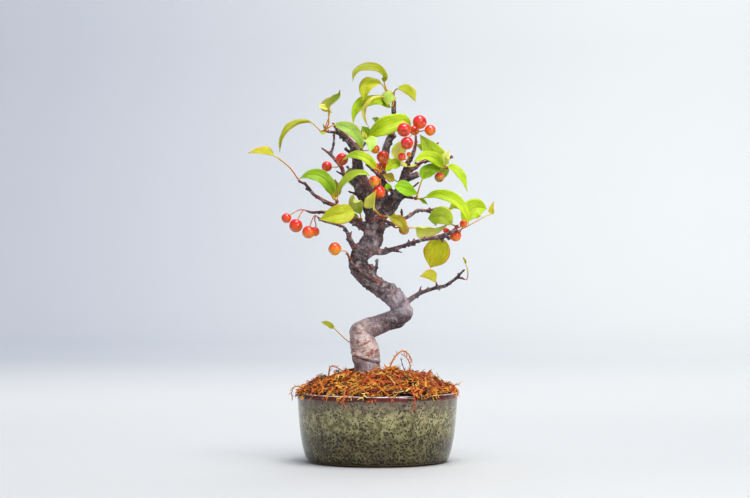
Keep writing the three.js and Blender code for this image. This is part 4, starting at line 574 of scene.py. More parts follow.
# Roots in the soil, with the radius at each point, and the trunk's burls, in millimetres.
ROOTS = [
    [(-6, 0, 32, 5), (-24, -10, 26, 2.6), (-36, -13, 14, 1)],
    [(-5, 0, 31, 5), (7, -16, 25, 2.6), (16, -33, 13, 1)],
    [(-5, 0, 32, 5), (16, 5, 25, 2.6), (35, 2, 14, 1)],
    [(-6, 0, 30, 5), (-5, 18, 24, 2.4), (4, 35, 13, 1)],
]
BURLS = [(-12, -3, 87.5, 7.2), (17, 5, 100.5, 7.2)]

# Long moss strands: a screen colour, a radius and points, in millimetres.
LONG_STRANDS = [
    (0xE0861C, 0.68, [(9, -8, 54), (7.5, -8, 60), (9.5, -9, 67), (13, -9, 72.5), (17, -9, 75), (21.5, -8, 72),
        (23, -7, 67)]),
    (0xD8781C, 0.55, [(18, -5, 54), (21, -6, 60), (22, -7, 65), (19.5, -8, 70.5), (16, -9, 73)]),
    (0x4A2A1E, 0.42, [(20, -6, 56), (18, -7, 62), (15.5, -8, 70)]),
    (0xC8701E, 0.6, [(-34, -8, 52), (-33, -8, 58), (-31.5, -9, 64.5), (-28, -8, 64), (-23, -6, 61)]),
    (0xC8641E, 0.55, [(-20, -41, 48.5), (-21, -47, 52), (-21.5, -53, 49.5), (-22.5, -56, 45),
        (-21, -56.5, 40)]),
    (0xD88420, 0.55, [(-27, -36, 49), (-29, -42, 52), (-31, -48, 49.5), (-33, -50, 46.5)]),
    (0xC2501C, 0.6, [(21, -39, 48.5), (22, -45, 52), (23, -52, 49.5), (24.5, -55, 44), (23, -55.5, 38)]),
    (0xD08A30, 0.5, [(-45, -4, 49), (-50, -4, 50), (-56, -3, 50.5), (-58, -2, 46.5), (-57.5, -2, 42)]),
    (0xD08A30, 0.5, [(42, 0, 50), (46, 0, 53), (52, -1, 51.5), (55.5, -2, 52.5)]),
    (0xC2501C, 0.55, [(9, 38, 49), (10, 44, 52), (12, 51, 50), (13, 56, 46), (12, 57, 41)]),
    (0xD88420, 0.5, [(-17, 38, 48.5), (-18, 44, 52), (-20, 50, 50.5), (-21, 54, 51)]),
    (0xC8641E, 0.5, [(32, 30, 48.5), (36, 34, 51), (40, 39, 50), (43, 41.5, 46)]),
]

# Old cuts with bare wood: a place and a reach in mm.
CUTS = [(376.5, 258, -6, 1.3), (372, 265, -8, 1.3), (419, 174, -11, 2), (396, 133, 12.5, 1.3)]

# The bark's stretches: x, z and reach in millimetres, and a screen colour.
# Their colours hold shading besides the bark's own tones: the darkest stretches, under the waist and in its
# crease and in the crevice at the neck, are painted shade.
BARK_TONES_AND_SHADE = [
    (-6, 60, 7, 0xAEA4AE), (-8, 78, 7, 0xC9B1AC), (-14, 89, 6, 0xB8A29E), (0, 90, 6, 0x78646A), (5, 92, 4,
    0x6A585E), (14, 95, 6, 0x3C2A30), (17, 88, 5, 0x34252A), (15, 106, 6, 0xBAAEB8), (7, 115, 6, 0x8A7B82),
    (-4, 120, 5, 0x62545A), (-11, 127, 6, 0x5C4F54), (-4, 135, 5, 0x473B40), (-2, 146, 7, 0x66575E),
    (-2.5, 139, 2.2, 0x1C1416), (-2, 160, 8, 0x554850), (3, 177, 10, 0x41343A), (3, 200, 14, 0x43353A),
    (5, 230, 20, 0x382A2F), (-9, 142, 1.7, 0x221A1E), (-7.5, 137.5, 2.2, 0x1C1417), (-5.5, 133.5, 2.4,
    0x1E1518), (9.8, 92, 1.4, 0x261C20), (10, 88.5, 1.4, 0x261C20), (10.5, 85.5, 1.8, 0x261C20),
]


def metres(point: tuple[float, ...]) -> Vector:
    """Turn a point in millimetres into metres, leaving anything after its place unread."""
    return Vector(point[:3]) * MM


@dataclass(frozen=True)
class Ring:
    """A place on a line, with its direction and two directions across it that never twist."""

    place: Vector
    along: Vector
    across: Vector
    up: Vector
    radius: float
    travel: float


class Line:
    """A smooth centripetal line through points; a mark counts its points from 0."""

    def __init__(self, points: list[Vector], radii: list[float] | None = None) -> None:
        """Keep the points.

        Args:
            points: The places that the line goes through, in metres.
            radii: The radius at each of them, in metres.
        """
        self.points = points
        self.radii = radii or [0.0] * len(points)

    @property
    def end(self) -> float:
        """The mark of the last point."""
        return len(self.points) - 1

    def at(self, mark: float) -> Vector:
        """Give the place at a mark.

        Args:
            mark: How far along, counted in points.

        Returns:
            The place, in metres.
        """
        points = self.points
        step = min(max(int(mark), 0), len(points) - 2)
        t = min(max(mark, 0.0), self.end) - step
        p1, p2 = points[step], points[step + 1]
        p0 = points[step - 1] if step else 2 * p1 - p2
        p3 = points[step + 2] if step + 2 < len(points) else 2 * p2 - p1
        d0, d1, d2 = (math.sqrt(max((b - a).length, 1e-7)) for a, b in ((p0, p1), (p1, p2), (p2, p3)))
        start = ((p1 - p0) / d0 - (p2 - p0) / (d0 + d1) + (p2 - p1) / d1) * d1
        stop = ((p2 - p1) / d1 - (p3 - p1) / (d1 + d2) + (p3 - p2) / d2) * d1
        cubic = 2 * p1 - 2 * p2 + start + stop
        square = -3 * p1 + 3 * p2 - 2 * start - stop
        return ((cubic * t + square) * t + start) * t + p1

    def rings(self, marks: list[float]) -> list[Ring]:
        """Give the rings at several marks.

        Args:
            marks: Rising marks along the line.

        Returns:
            A ring for each mark.
        """
        found, across, travel, last = [], None, 0.0, None
        for mark in marks:
            place = self.at(mark)
            near = self.at(min(mark + 0.02, self.end)) - self.at(max(mark - 0.02, 0))
            along = near.normalized()
            if across is None:
                across = Vector((0, 0, 1)) if abs(along.x) > 0.8 else Vector((1, 0, 0))
            across = (across - along * across.dot(along)).normalized()
            travel += (place - last).length if last else 0.0
            last = place
            step = min(int(mark), len(self.radii) - 2)
            share = min(mark - step, 1.0)
            radius = self.radii[step] * (1 - share) + self.radii[step + 1] * share
            found.append(Ring(place, along, across, across.cross(along), radius, travel))
        return found

    def sampled(self, per_span: int) -> list[Ring]:
        """Give rings at even marks, so many for each span between two points."""
        steps = int(self.end) * per_span
        return self.rings([self.end * i / steps for i in range(steps + 1)])


def limb_line(points: list[tuple[float, ...]], in_view: bool = True) -> Line:
    """Make a line from points of the front view, or in millimetres, that end in a radius."""
    place = placed if in_view else metres
    return Line([place(p) for p in points], [p[3] * MM for p in points])


# --- modelling


def cleared() -> None:
    """Leave edit mode and deselect everything."""
    if bpy.context.object and bpy.context.object.mode != "OBJECT":
        bpy.ops.object.mode_set(mode="OBJECT")
    bpy.ops.object.select_all(action="DESELECT")


def chosen(piece: Object) -> Object:
    """Select one piece alone and make it the active one.

    Args:
        piece: The piece.

    Returns:
        The same piece.
    """
    cleared()
    piece.select_set(True)
    bpy.context.view_layer.objects.active = piece
    return piece


def modified(piece: Object, kind: str, **settings: object) -> None:
    """Add a modifier to a piece and apply it.

    Args:
        piece: The mesh to change.
        kind: The modifier's type.
        settings: The modifier's own values.
    """
    chosen(piece)
    modifier = piece.modifiers.new(kind.title(), kind)
    for key, value in settings.items():
        setattr(modifier, key, value)
    bpy.ops.object.modifier_apply(modifier=modifier.name)


def turned(name: str, profile: list[tuple[float, float]], sides: int) -> Object:
    """Extrude a ring through a profile and close it on the axis at both ends.

    Args:
        name: The piece's name.
        profile: Radius and height of each ring, in metres, from pole to pole.
        sides: How many sides the rings have.

    Returns:
        The closed piece, with its place in its mesh.
    """
    cleared()
    radius, height = profile[0]
    bpy.ops.mesh.primitive_circle_add(vertices=sides, radius=radius, location=(0, 0, height))
    piece = bpy.context.object
    piece.name = name
    bpy.ops.object.mode_set(mode="EDIT")
    for next_radius, next_height in profile[1:]:
        rise = (0, 0, next_height - height)
        bpy.ops.mesh.extrude_region_move(TRANSFORM_OT_translate={"value": rise})
        scale = next_radius / radius
        bpy.ops.transform.resize(value=(scale, scale, 1), center_override=(0, 0, 0))
        radius, height = next_radius, next_height
    bpy.ops.mesh.merge(type="CENTER")
    bpy.ops.mesh.select_all(action="DESELECT")
    bpy.ops.object.mode_set(mode="OBJECT")
    for vertex in piece.data.vertices[:sides]:
        vertex.select = True
    bpy.ops.object.mode_set(mode="EDIT")
    bpy.ops.mesh.merge(type="CENTER")
    bpy.ops.mesh.select_all(action="SELECT")
    bpy.ops.mesh.normals_make_consistent(inside=False)
    bpy.ops.object.mode_set(mode="OBJECT")
    bpy.ops.object.transform_apply(location=True, rotation=True, scale=True)
    return piece


def tubes(name: str, lines: list[list[tuple[Vector, float]]], fineness: int) -> Object:
    """Draw round tubes and make them one mesh.

    Args:
        name: The piece's name.
        lines: For each tube, its places and the radius at each of them.
        fineness: The bevel's resolution; 0 gives four sides.

    Returns:
        The mesh piece.
    """
    drawn = bpy.data.curves.new(name, "CURVE")
    drawn.dimensions = "3D"
    drawn.bevel_depth = 1.0
    drawn.bevel_resolution = fineness
    drawn.use_fill_caps = True
    for line in lines:
        spline = drawn.splines.new("POLY")
        spline.points.add(len(line) - 1)
        for point, (place, radius) in zip(spline.points, line):
            point.co = (*place, 1)
            point.radius = radius
    piece = bpy.data.objects.new(name, drawn)
    bpy.context.scene.collection.objects.link(piece)
    chosen(piece)
    bpy.ops.object.convert(target="MESH")
    piece = bpy.context.object
    piece.name = name
    return piece


def joined(name: str, pieces: list[Object]) -> Object:
    """Join several meshes into one object of that name.

    Args:
        name: The new piece's name.
        pieces: Two meshes or more.

    Returns:
        The whole.
    """
    whole = chosen(pieces[0])
    for piece in pieces[1:]:
        piece.select_set(True)
    bpy.ops.object.join()
    whole.name = whole.data.name = name
    return whole


def rows_of(data: bpy_prop_collection, name: str) -> np.ndarray:
    """Read a vector that each member keeps, as rows of three.

    Args:
        data: The members.
        name: The vector's name.

    Returns:
        A row for each member.
    """
    flat = np.empty(len(data) * 3, np.float32)
    data.foreach_get(name, flat)
    return flat.reshape(-1, 3)


def coordinates(mesh: Mesh) -> np.ndarray:
    """Read the places of a mesh's vertices as rows of three."""
    return rows_of(mesh.vertices, "co")


def light_of(code: int) -> np.ndarray:
    """Turn a screen colour into linear light that can be reckoned with."""
    return np.array(linear(code))


def opaque(colours: np.ndarray) -> np.ndarray:
    """Add full cover to rows of colours."""
    return np.hstack([colours, np.ones((len(colours), 1))])


def store(mesh: Mesh, name: str, rows: np.ndarray) -> None:
    """Keep a value for each vertex: rows of three as a vector, rows of four as a colour.

    Args:
        mesh: The mesh to mark.
        name: The attribute's name.
        rows: One row for each vertex.
    """
    colour = rows.shape[1] == 4
    attribute = mesh.attributes.new(name, "FLOAT_COLOR" if colour else "FLOAT_VECTOR", "POINT")
    attribute.data.foreach_set("color" if colour else "vector", rows.astype(np.float32).ravel())


class Copies:
    """Copies of modelled meshes gathered into one piece, each copy with faces of its own."""

    def __init__(self) -> None:
        """Start with none."""
        self.places: list[np.ndarray] = []
        self.faces: list[list[int]] = []
        self.marks: dict[str, list[np.ndarray]] = {}
        self.count = 0

    def add(self, mesh: Mesh, places: np.ndarray, **marks: np.ndarray) -> None:
        """Add a copy of a mesh.

        Args:
            mesh: The mesh whose faces are copied.
            places: Where the copy's vertices are, in metres.
            marks: Values for each vertex, by attribute name.
        """
        self.places.append(places)
        self.faces += [[self.count + i for i in face.vertices] for face in mesh.polygons]
        for name, rows in marks.items():
            self.marks.setdefault(name, []).append(rows)
        self.count += len(places)

    def piece(self, name: str) -> Object:
        """Make one object of all the copies.

        Args:
            name: The object's name.

        Returns:
            The object, at the origin and shaded smooth.
        """
        mesh = bpy.data.meshes.new(name)
        mesh.from_pydata(np.concatenate(self.places).tolist(), [], self.faces)
        for mark, rows in self.marks.items():
            store(mesh, mark, np.concatenate(rows))
        piece = bpy.data.objects.new(name, mesh)
        bpy.context.scene.collection.objects.link(piece)
        chosen(piece)
        bpy.ops.object.shade_smooth()
        return piece


def kept_mesh(piece: Object) -> Mesh:
    """Take the mesh of a modelled template and delete its object.

    Args:
        piece: The template.

    Returns:
        Its mesh.
    """
    mesh = piece.data
    bpy.data.objects.remove(piece)
    return mesh


# --- materials


class Socket:
    """A value in a material; arithmetic on it adds Math nodes."""

    def __init__(self, paint: "Paint", link: NodeSocket) -> None:
        """Wrap a node's output."""
        self.paint = paint
        self.link = link

    def _math(self, operation: str, first: "Socket | float", second: "Socket | float") -> "Socket":
        """Add a Math node of two values."""
        return self.paint.value("ShaderNodeMath", {"operation": operation}, {0: first, 1: second})

    def __add__(self, other: "Socket | float") -> "Socket":
        """Add a value."""
        return self._math("ADD", self, other)

    def __sub__(self, other: "Socket | float") -> "Socket":
        """Take a value away."""
        return self._math("SUBTRACT", self, other)

    def __rsub__(self, other: "Socket | float") -> "Socket":
        """Take this away from a value."""
        return self._math("SUBTRACT", other, self)

    def __mul__(self, other: "Socket | float") -> "Socket":
        """Multiply by a value."""
        return self._math("MULTIPLY", self, other)

    def __truediv__(self, other: "Socket | float") -> "Socket":
        """Divide by a value."""
        return self._math("DIVIDE", self, other)

    def __abs__(self) -> "Socket":
        """Drop the sign."""
        return self._math("ABSOLUTE", self, 0.0)

    __radd__ = __add__
    __rmul__ = __mul__


class Paint:
    """A procedural material while it is put together."""

    def __init__(self, name: str) -> None:
        """Start an empty material.

        Args:
            name: The material's name.
        """
        self.material = bpy.data.materials.new(name)
        self.material.use_nodes = True
        self.tree = self.material.node_tree
        self.tree.nodes.clear()

    def node(self, kind: str, settings: dict | None = None, inputs: dict | None = None) -> Node:
        """Add a node: its settings first, then the values or links of its sockets.

        Args:
            kind: The node's type.
            settings: Its properties, such as a Math node's operation.
            inputs: Values or Sockets by the input's name or number.

        Returns:
            The node.
        """
        made = self.tree.nodes.new(kind)
        for key, value in (settings or {}).items():
            setattr(made, key, value)
        for key, value in (inputs or {}).items():
            if isinstance(value, Socket):
                self.tree.links.new(value.link, made.inputs[key])
            else:
                made.inputs[key].default_value = value
        return made

    def value(self, kind: str, settings: dict | None, inputs: dict | None,
              output: int | str = 0) -> Socket:
        """Add a node and give one of its outputs."""
        return Socket(self, self.node(kind, settings, inputs).outputs[output])

    def place(self) -> Socket:
        """Give the place on the piece, in metres."""
        return self.value("ShaderNodeTexCoord", None, None, "Object")

    def mark(self, name: str, output: str = "Vector") -> Socket:
        """Give an attribute of the mesh."""
        return self.value("ShaderNodeAttribute", {"attribute_name": name}, None, output)

    def part(self, vector: Socket, axis: str) -> Socket:
        """Give one part of a vector."""
        return self.value("ShaderNodeSeparateXYZ", None, {0: vector}, axis)

    def stretched(self, vector: Socket, scale: tuple[float, float, float]) -> Socket:
        """Scale a vector part by part."""
        return self.value("ShaderNodeVectorMath", {"operation": "MULTIPLY"}, {0: vector, 1: scale})

    def noise(self, vector: Socket, scale: float, detail: float = 2, rough: float = 0.5) -> Socket:
        """Give soft noise from 0 to 1."""
        inputs = {"Vector": vector, "Scale": scale, "Detail": detail, "Roughness": rough}
        return self.value("ShaderNodeTexNoise", None, inputs)

    def cells(self, vector: Socket, scale: float, feature: str = "F1") -> Socket:
        """Give the distance to scattered points, or to the borders between them."""
        inputs = {"Vector": vector, "Scale": scale}
        return self.value("ShaderNodeTexVoronoi", {"feature": feature}, inputs, "Distance")

    def between(self, value: Socket, low: float, high: float) -> Socket:
        """Rise smoothly from 0 at one value to 1 at another."""
        inputs = {0: value, 1: low, 2: high}
        return self.value("ShaderNodeMapRange", {"interpolation_type": "SMOOTHSTEP"}, inputs)

    def mix(self, share: Socket | float, first: Socket | int, second: Socket | int) -> Socket:
        """Mix two colours, each a Socket or a screen colour."""
        first, second = (c if isinstance(c, Socket) else (*linear(c), 1) for c in (first, second))
        return self.value("ShaderNodeMix", {"data_type": "RGBA"}, {0: share, 6: first, 7: second}, 2)

    def bump(self, height: Socket, depth: float) -> Socket:
        """Give a normal from a height of 0 to 1 that stands for a depth in metres."""
        return self.value("ShaderNodeBump", None, {"Height": height, "Distance": depth})

    def finished(self, **inputs: Socket | float | tuple) -> Material:
        """Close the material with a Principled surface.

        Args:
            inputs: Its sockets, with underscores for spaces.

        Returns:
            The material.
        """
        named = {key.replace("_", " "): value for key, value in inputs.items()}
        surface = self.value("ShaderNodeBsdfPrincipled", None, named)
        self.node("ShaderNodeOutputMaterial", None, {"Surface": surface})
        return self.material


@dataclass(frozen=True)
class Glaze:
    """A reduction glaze: olive green under a plum haze, peppered with dark iron spots, with a painted
    highlight and reflection along the lip.
    """

    lip_height: float = 0.0463
    band_foot: float = 0.0437
    haze_reach: float = 0.011
    roughness: float = 0.16
    olive: int = 0x6C673F
    pale_olive: int = 0xB4AE7C
    cloudy: int = 0x76675A
    deep: int = 0x3E3410
    plum: int = 0x64504E
    iron: int = 0x22121A
    low_iron: int = 0x160D08
    glint: int = 0xB4B27A
    run: int = 0x4A2634
    band: tuple = (0x301612, 0x5E201A)
    # The lip's two pale colours are a painted highlight and reflection along its top.
    lip: tuple = (0xA8A6B4, 0xD6C6C4)
    inside: int = 0x5B463C
    clay: int = 0x8A7461

    def material(self) -> Material:
        """Build the material.

        Returns:
            The finished material.
        """
        p = Paint("glaze")
        place = p.place()
        height = p.part(place, "Z")
        cloud = p.noise(place, 70, 3)
        mottle = p.noise(place, 260, 2, 0.6)
        depth = (self.band_foot - height) / self.haze_reach
        haze = p.between(depth + (cloud - 0.5) * 0.9, 1.15, 0.0)
        low = p.between(height + (cloud - 0.5) * 0.014, 0.034, 0.012)
        colour = p.mix(p.between(mottle, 0.36, 0.62), self.olive, self.pale_olive)
        colour = p.mix(p.between(cloud, 0.5, 0.68) * 0.5, colour, self.cloudy)
        colour = p.mix(low * 0.72, colour, self.deep)
        colour = p.mix(haze * 0.75, colour, self.plum)
        drift = p.value("ShaderNodeTexNoise", None, {"Vector": place, "Scale": 500}, "Color")
        warped = p.value("ShaderNodeVectorMath", {"operation": "MULTIPLY_ADD"},
                         {0: drift, 1: (0.0003, 0.0003, 0.0003), 2: place})
        spots = p.cells(warped, 610)
        reach = p.noise(place, 130, 2) * 0.6 + low * 0.1 + 0.02
        pepper = p.between(spots - reach, 0.03, -0.03)
        blots = p.between(p.cells(warped, 330), 0.36, 0.26) * p.between(height, 0.036, 0.02)
        pepper = p.value("ShaderNodeMath", {"operation": "MAXIMUM"}, {0: pepper, 1: blots})
        colour = p.mix(pepper * 0.92, colour, p.mix(low, self.iron, self.low_iron))
        pale = p.cells(warped, 900, "SMOOTH_F1")
        glints = p.between(pale, 0.22, 0.08) * p.between(mottle, 0.5, 0.62) * (1 - haze)
        colour = p.mix(glints * 0.3, colour, self.glint)
        runs = p.cells(p.stretched(warped, (1, 1, 0.42)), 300)
        drops = p.between(runs, 0.3, 0.16) * p.between(abs(depth - 0.5), 0.5, 0.2)
        colour = p.mix(drops * 0.75, colour, self.run)
        wobble = (cloud - 0.5) * 0.0022
        band = p.between(height + wobble, self.band_foot - 0.0007, self.band_foot + 0.0006)
        colour = p.mix(band * 0.95, colour, p.mix(p.between(cloud, 0.4, 0.6), *self.band))
        # Painted highlight and reflection: the top of the lip is painted pale grey-blue and pinkish white.
        rim = p.between(height + wobble * 0.5, self.lip_height + 0.0001, self.lip_height + 0.0006)
        colour = p.mix(rim, colour, p.mix(p.between(cloud, 0.35, 0.65), *self.lip))
        inner = p.part(p.mark("zone"), "X")
        colour = p.mix(inner, colour, self.inside)
        foot = p.between(height, 0.0019, 0.0012)
        colour = p.mix(foot, colour, self.clay)
        ripple = p.bump(p.noise(place, 180, 2) + pepper * 0.15, 0.00016)
        return p.finished(Base_Color=colour, Roughness=foot * 0.55 + self.roughness + pepper * 0.1,
                          Normal=ripple, Specular_IOR_Level=0.3, Coat_Weight=0.22,
                          Coat_Roughness=0.1)


@dataclass(frozen=True)
class Bark:
    """Old crabapple bark: ring flecks low down, pits and lumps higher up, painted shade in the hollows, and
    twigs redder on their upper sides, partly painted light.
    """

    fleck_squeeze: float = 4.5
    crevice: int = 0x2C1E20
    bloom: int = 0xEFE2E4
    crust: int = 0xE2D6D8
    pit: int = 0x35262A
    fleck: int = 0x94462E
    pore: int = 0x4E302E
    warmth: int = 0x8A4A3E
    # Painted shade laid into the hollows and the wire groove.
    hollow_shade: int = 0x1E1518
    bare_wood: tuple = (0xB98468, 0xE6CDB4)

    def material(self) -> Material:
        """Build the material.

        Returns:
            The finished material.
        """
        p = Paint("bark")
        grain = p.mark("grain")
        tone = p.mark("tone", "Color")
        ringed, cut, hollow_shade = (p.part(p.mark("shade"), axis) for axis in "XYZ")
        broad = p.noise(grain, 170, 3, 0.6)
        fine = p.noise(grain, 800, 4, 0.7)
        colour = p.mix(p.between(broad, 0.5, 0.32) * 0.5, tone, p.mix(0.62, tone, self.crevice))
        colour = p.mix(p.between(broad, 0.5, 0.66) * 0.5, colour, p.mix(0.5, tone, self.bloom))
        colour = p.mix(p.between(fine, 0.52, 0.7) * 0.45, colour, self.crust)
        colour = p.mix(p.between(fine, 0.48, 0.3) * 0.7, colour, self.pit)
        rings = p.noise(p.stretched(grain, (1, 1, self.fleck_squeeze)), 190, 2, 0.55)
        broken = p.between(p.noise(grain, 260, 1), 0.44, 0.56)
        flecks = p.between(rings, 0.5, 0.6) * broken * ringed
        colour = p.mix(flecks * 0.85, colour, self.fleck)
        pores = p.between(p.cells(p.stretched(grain, (1, 1, 1.8)), 330), 0.24, 0.08)
        colour = p.mix(pores * (1 - ringed) * 0.6, colour, self.pore)
        warm = p.between(p.noise(grain, 120, 2), 0.5, 0.66) * (1 - ringed)
        colour = p.mix(warm * 0.3, colour, self.warmth)
        # Painted shade: the hollows and the wire groove darken towards near black.
        colour = p.mix(hollow_shade * 0.8, colour, self.hollow_shade)
        colour = p.mix(cut, colour, p.mix(fine, *self.bare_wood))
        relief = fine * 0.6 + rings * ringed * 0.8 - flecks * 0.5 - pores * 0.4
        return p.finished(Base_Color=colour, Roughness=0.84 - fine * 0.14,
                          Normal=p.bump(relief, 0.0007))


@dataclass(frozen=True)
class LeafSkin:
    """A leaf's skin: its own tint, paler veins, a dull underside and rusty autumn spots."""

    vein_pairs: float = 8.0
    vein_rise: float = 0.34
    pale: int = 0xECEE62
    deep: int = 0x486806
    underside: int = 0xAEBC50
    rust_and_lit_red: int = 0xC06A22

    def material(self) -> Material:
        """Build the material.

        Returns:
            The finished material.
        """
        p = Paint("leaf")
        tint = p.mark("tint", "Color")
        blade = p.mark("blade")
        along, aside, under = (p.part(blade, axis) for axis in "XYZ")
        place = p.place()
        off = abs(aside)
        on_blade = p.between(off, 2.5, 2.0)
        rise = along - off * self.vein_rise + (off * off) * 0.1
        phase = p.value("ShaderNodeMath", {"operation": "PINGPONG"},
                        {0: rise * self.vein_pairs, 1: 0.5})
        side_veins = p.between(phase, 0.07, 0.0) * p.between(off, 0.95, 0.5)
        midrib = p.between(off, 0.075, 0.02)
        net = p.between(p.cells(place, 1500, "DISTANCE_TO_EDGE"), 0.09, 0.0)
        veins = (side_veins * 0.6 + midrib * 0.8 + net * 0.1) * on_blade
        cloud = p.noise(place, 260, 3, 0.6)
        pale = p.mix(0.45, tint, self.pale)
        deep = p.mix(0.5, tint, self.deep)
        streaks = p.noise(p.stretched(blade, (2.6, 8.5, 1)), 1, 3, 0.6)
        colour = p.mix(p.between(cloud, 0.55, 0.3) * 0.4, tint, deep)
        colour = p.mix(p.between(streaks, 0.5, 0.64) * on_blade * 0.45, colour, pale)
        colour = p.mix(p.between(streaks, 0.48, 0.36) * on_blade * 0.4, colour, deep)
        colour = p.mix(veins * 0.55, colour, pale)
        colour = p.mix(under * 0.25, colour, self.underside)
        rust_and_lit_red = p.between(p.noise(place, 330, 2, 0.7), 0.66, 0.76) * p.between(off, 0.3, 1.0)
        colour = p.mix(rust_and_lit_red * on_blade * 0.4, colour, self.rust_and_lit_red)
        relief = p.bump(cloud * 0.3 - veins * 0.8, 0.00018)
        return p.finished(Base_Color=colour, Roughness=under * 0.18 + 0.4 + cloud * 0.06,
                          Normal=relief, Subsurface_Weight=0.15, Subsurface_Radius=(1, 1, 0.2),
                          Subsurface_Scale=0.0012, Specular_IOR_Level=0.16)


@dataclass(frozen=True)
class FruitSkin:
    """A crabapple's waxy skin with pale dots."""

    dots: float = 900
    blush: int = 0xF79020
    dot: int = 0xF8B060

    def material(self) -> Material:
        """Build the material.

        Returns:
            The finished material.
        """
        p = Paint("fruit")
        skin = p.mark("skin", "Color")
        place = p.place()
        cloud = p.noise(place, 420, 2)
        colour = p.mix(p.between(cloud, 0.45, 0.7) * 0.22, skin, p.mix(0.5, skin, self.blush))
        dots = p.between(p.cells(place, self.dots), 0.16, 0.05)
        colour = p.mix(dots * 0.35, colour, self.dot)
        return p.finished(Base_Color=colour, Roughness=cloud * 0.08 + 0.2,
                          Normal=p.bump(p.noise(place, 700, 2), 0.00006),
                          Coat_Weight=0.3, Coat_Roughness=0.12, Subsurface_Weight=0.08,
                          Subsurface_Radius=(1, 0.3, 0.1), Subsurface_Scale=0.0012)


@dataclass(frozen=True)
class Fibre:
    """Dried sphagnum: each strand in its own shade of ochre, orange or rust."""

    soaked: int = 0x5A2410

    def material(self) -> Material:
        """Build the material.

        Returns:
            The finished material.
        """
        p = Paint("moss")
        tone = p.mark("tone", "Color")
        grain = p.noise(p.place(), 1400, 2)
        colour = p.mix(grain * 0.4, tone, p.mix(0.6, tone, self.soaked))
        return p.finished(Base_Color=colour, Roughness=grain * 0.2 + 0.68,
                          Normal=p.bump(grain, 0.0001))


@dataclass(frozen=True)
class Litter:
    """Dark crumbs and broken fibres, for the moss's bed and the soil; on the moss's bed the near-black is
    partly painted shade.
    """

    name: str
    dark: int
    light: int

    def material(self) -> Material:
        """Build the material.

        Returns:
            The finished material.
        """
        p = Paint(self.name)
        place = p.place()
        crumbs = p.cells(place, 480)
        grit = p.noise(place, 900, 4, 0.7)
        colour = p.mix(p.between(grit, 0.35, 0.65), self.dark, self.light)
        colour = p.mix(p.between(crumbs, 0.6, 0.2) * 0.5, colour, self.dark)
        return p.finished(Base_Color=colour, Roughness=grit * 0.1 + 0.85,
                          Normal=p.bump(crumbs + grit, 0.0006))


@dataclass(frozen=True)
class Screen:
    """The dark plastic of the drain screens."""

    dark: int = 0x232427
    light: int = 0x33353A

    def material(self) -> Material:
        """Build the material.

        Returns:
            The finished material.
        """
        p = Paint("screen")
        grain = p.noise(p.place(), 1600, 2)
        return p.finished(Base_Color=p.mix(grain, self.dark, self.light),
                          Roughness=grain * 0.15 + 0.5, Normal=p.bump(grain, 0.00005))


@dataclass(frozen=True)
class Paper:
    """The pale studio sweep: brighter near by, and shaded to one side far off."""

    near: tuple = (0xEFF0F1, 0xE9EAEC)
    far: tuple = (0xBDC2CD, 0xD4D8DA)

    def material(self) -> Material:
        """Build the material.

        Returns:
            The finished material.
        """
        p = Paint("sweep")
        place = p.place()
        grain = p.noise(place, 3, 2)
        near = p.mix(grain * 0.3, *self.near)
        far = p.mix(p.between(p.part(place, "X"), -0.8, 0.6), *self.far)
        colour = p.mix(p.between(p.part(place, "Y"), 0.45, 1.5), near, far)
        return p.finished(Base_Color=colour, Roughness=0.9, Specular_IOR_Level=0.1)


# --- sub-assemblies


def finish_piece(piece: Object, material: Material, slot: str, *nodes: str) -> None:
    """Dress a piece, seat it on the body and hide the nodes that it replaces.

    Args:
        piece: The finished mesh.
        material: Its material.
        slot: The record's material slot; not used.
        nodes: The CAD nodes that it replaces.
    """
    piece.data.materials.clear()
    piece.data.materials.append(material)
    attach(piece, "root")
    if nodes:
        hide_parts(*nodes)
    LOG.info("%s: %d faces", piece.name, len(piece.data.polygons))


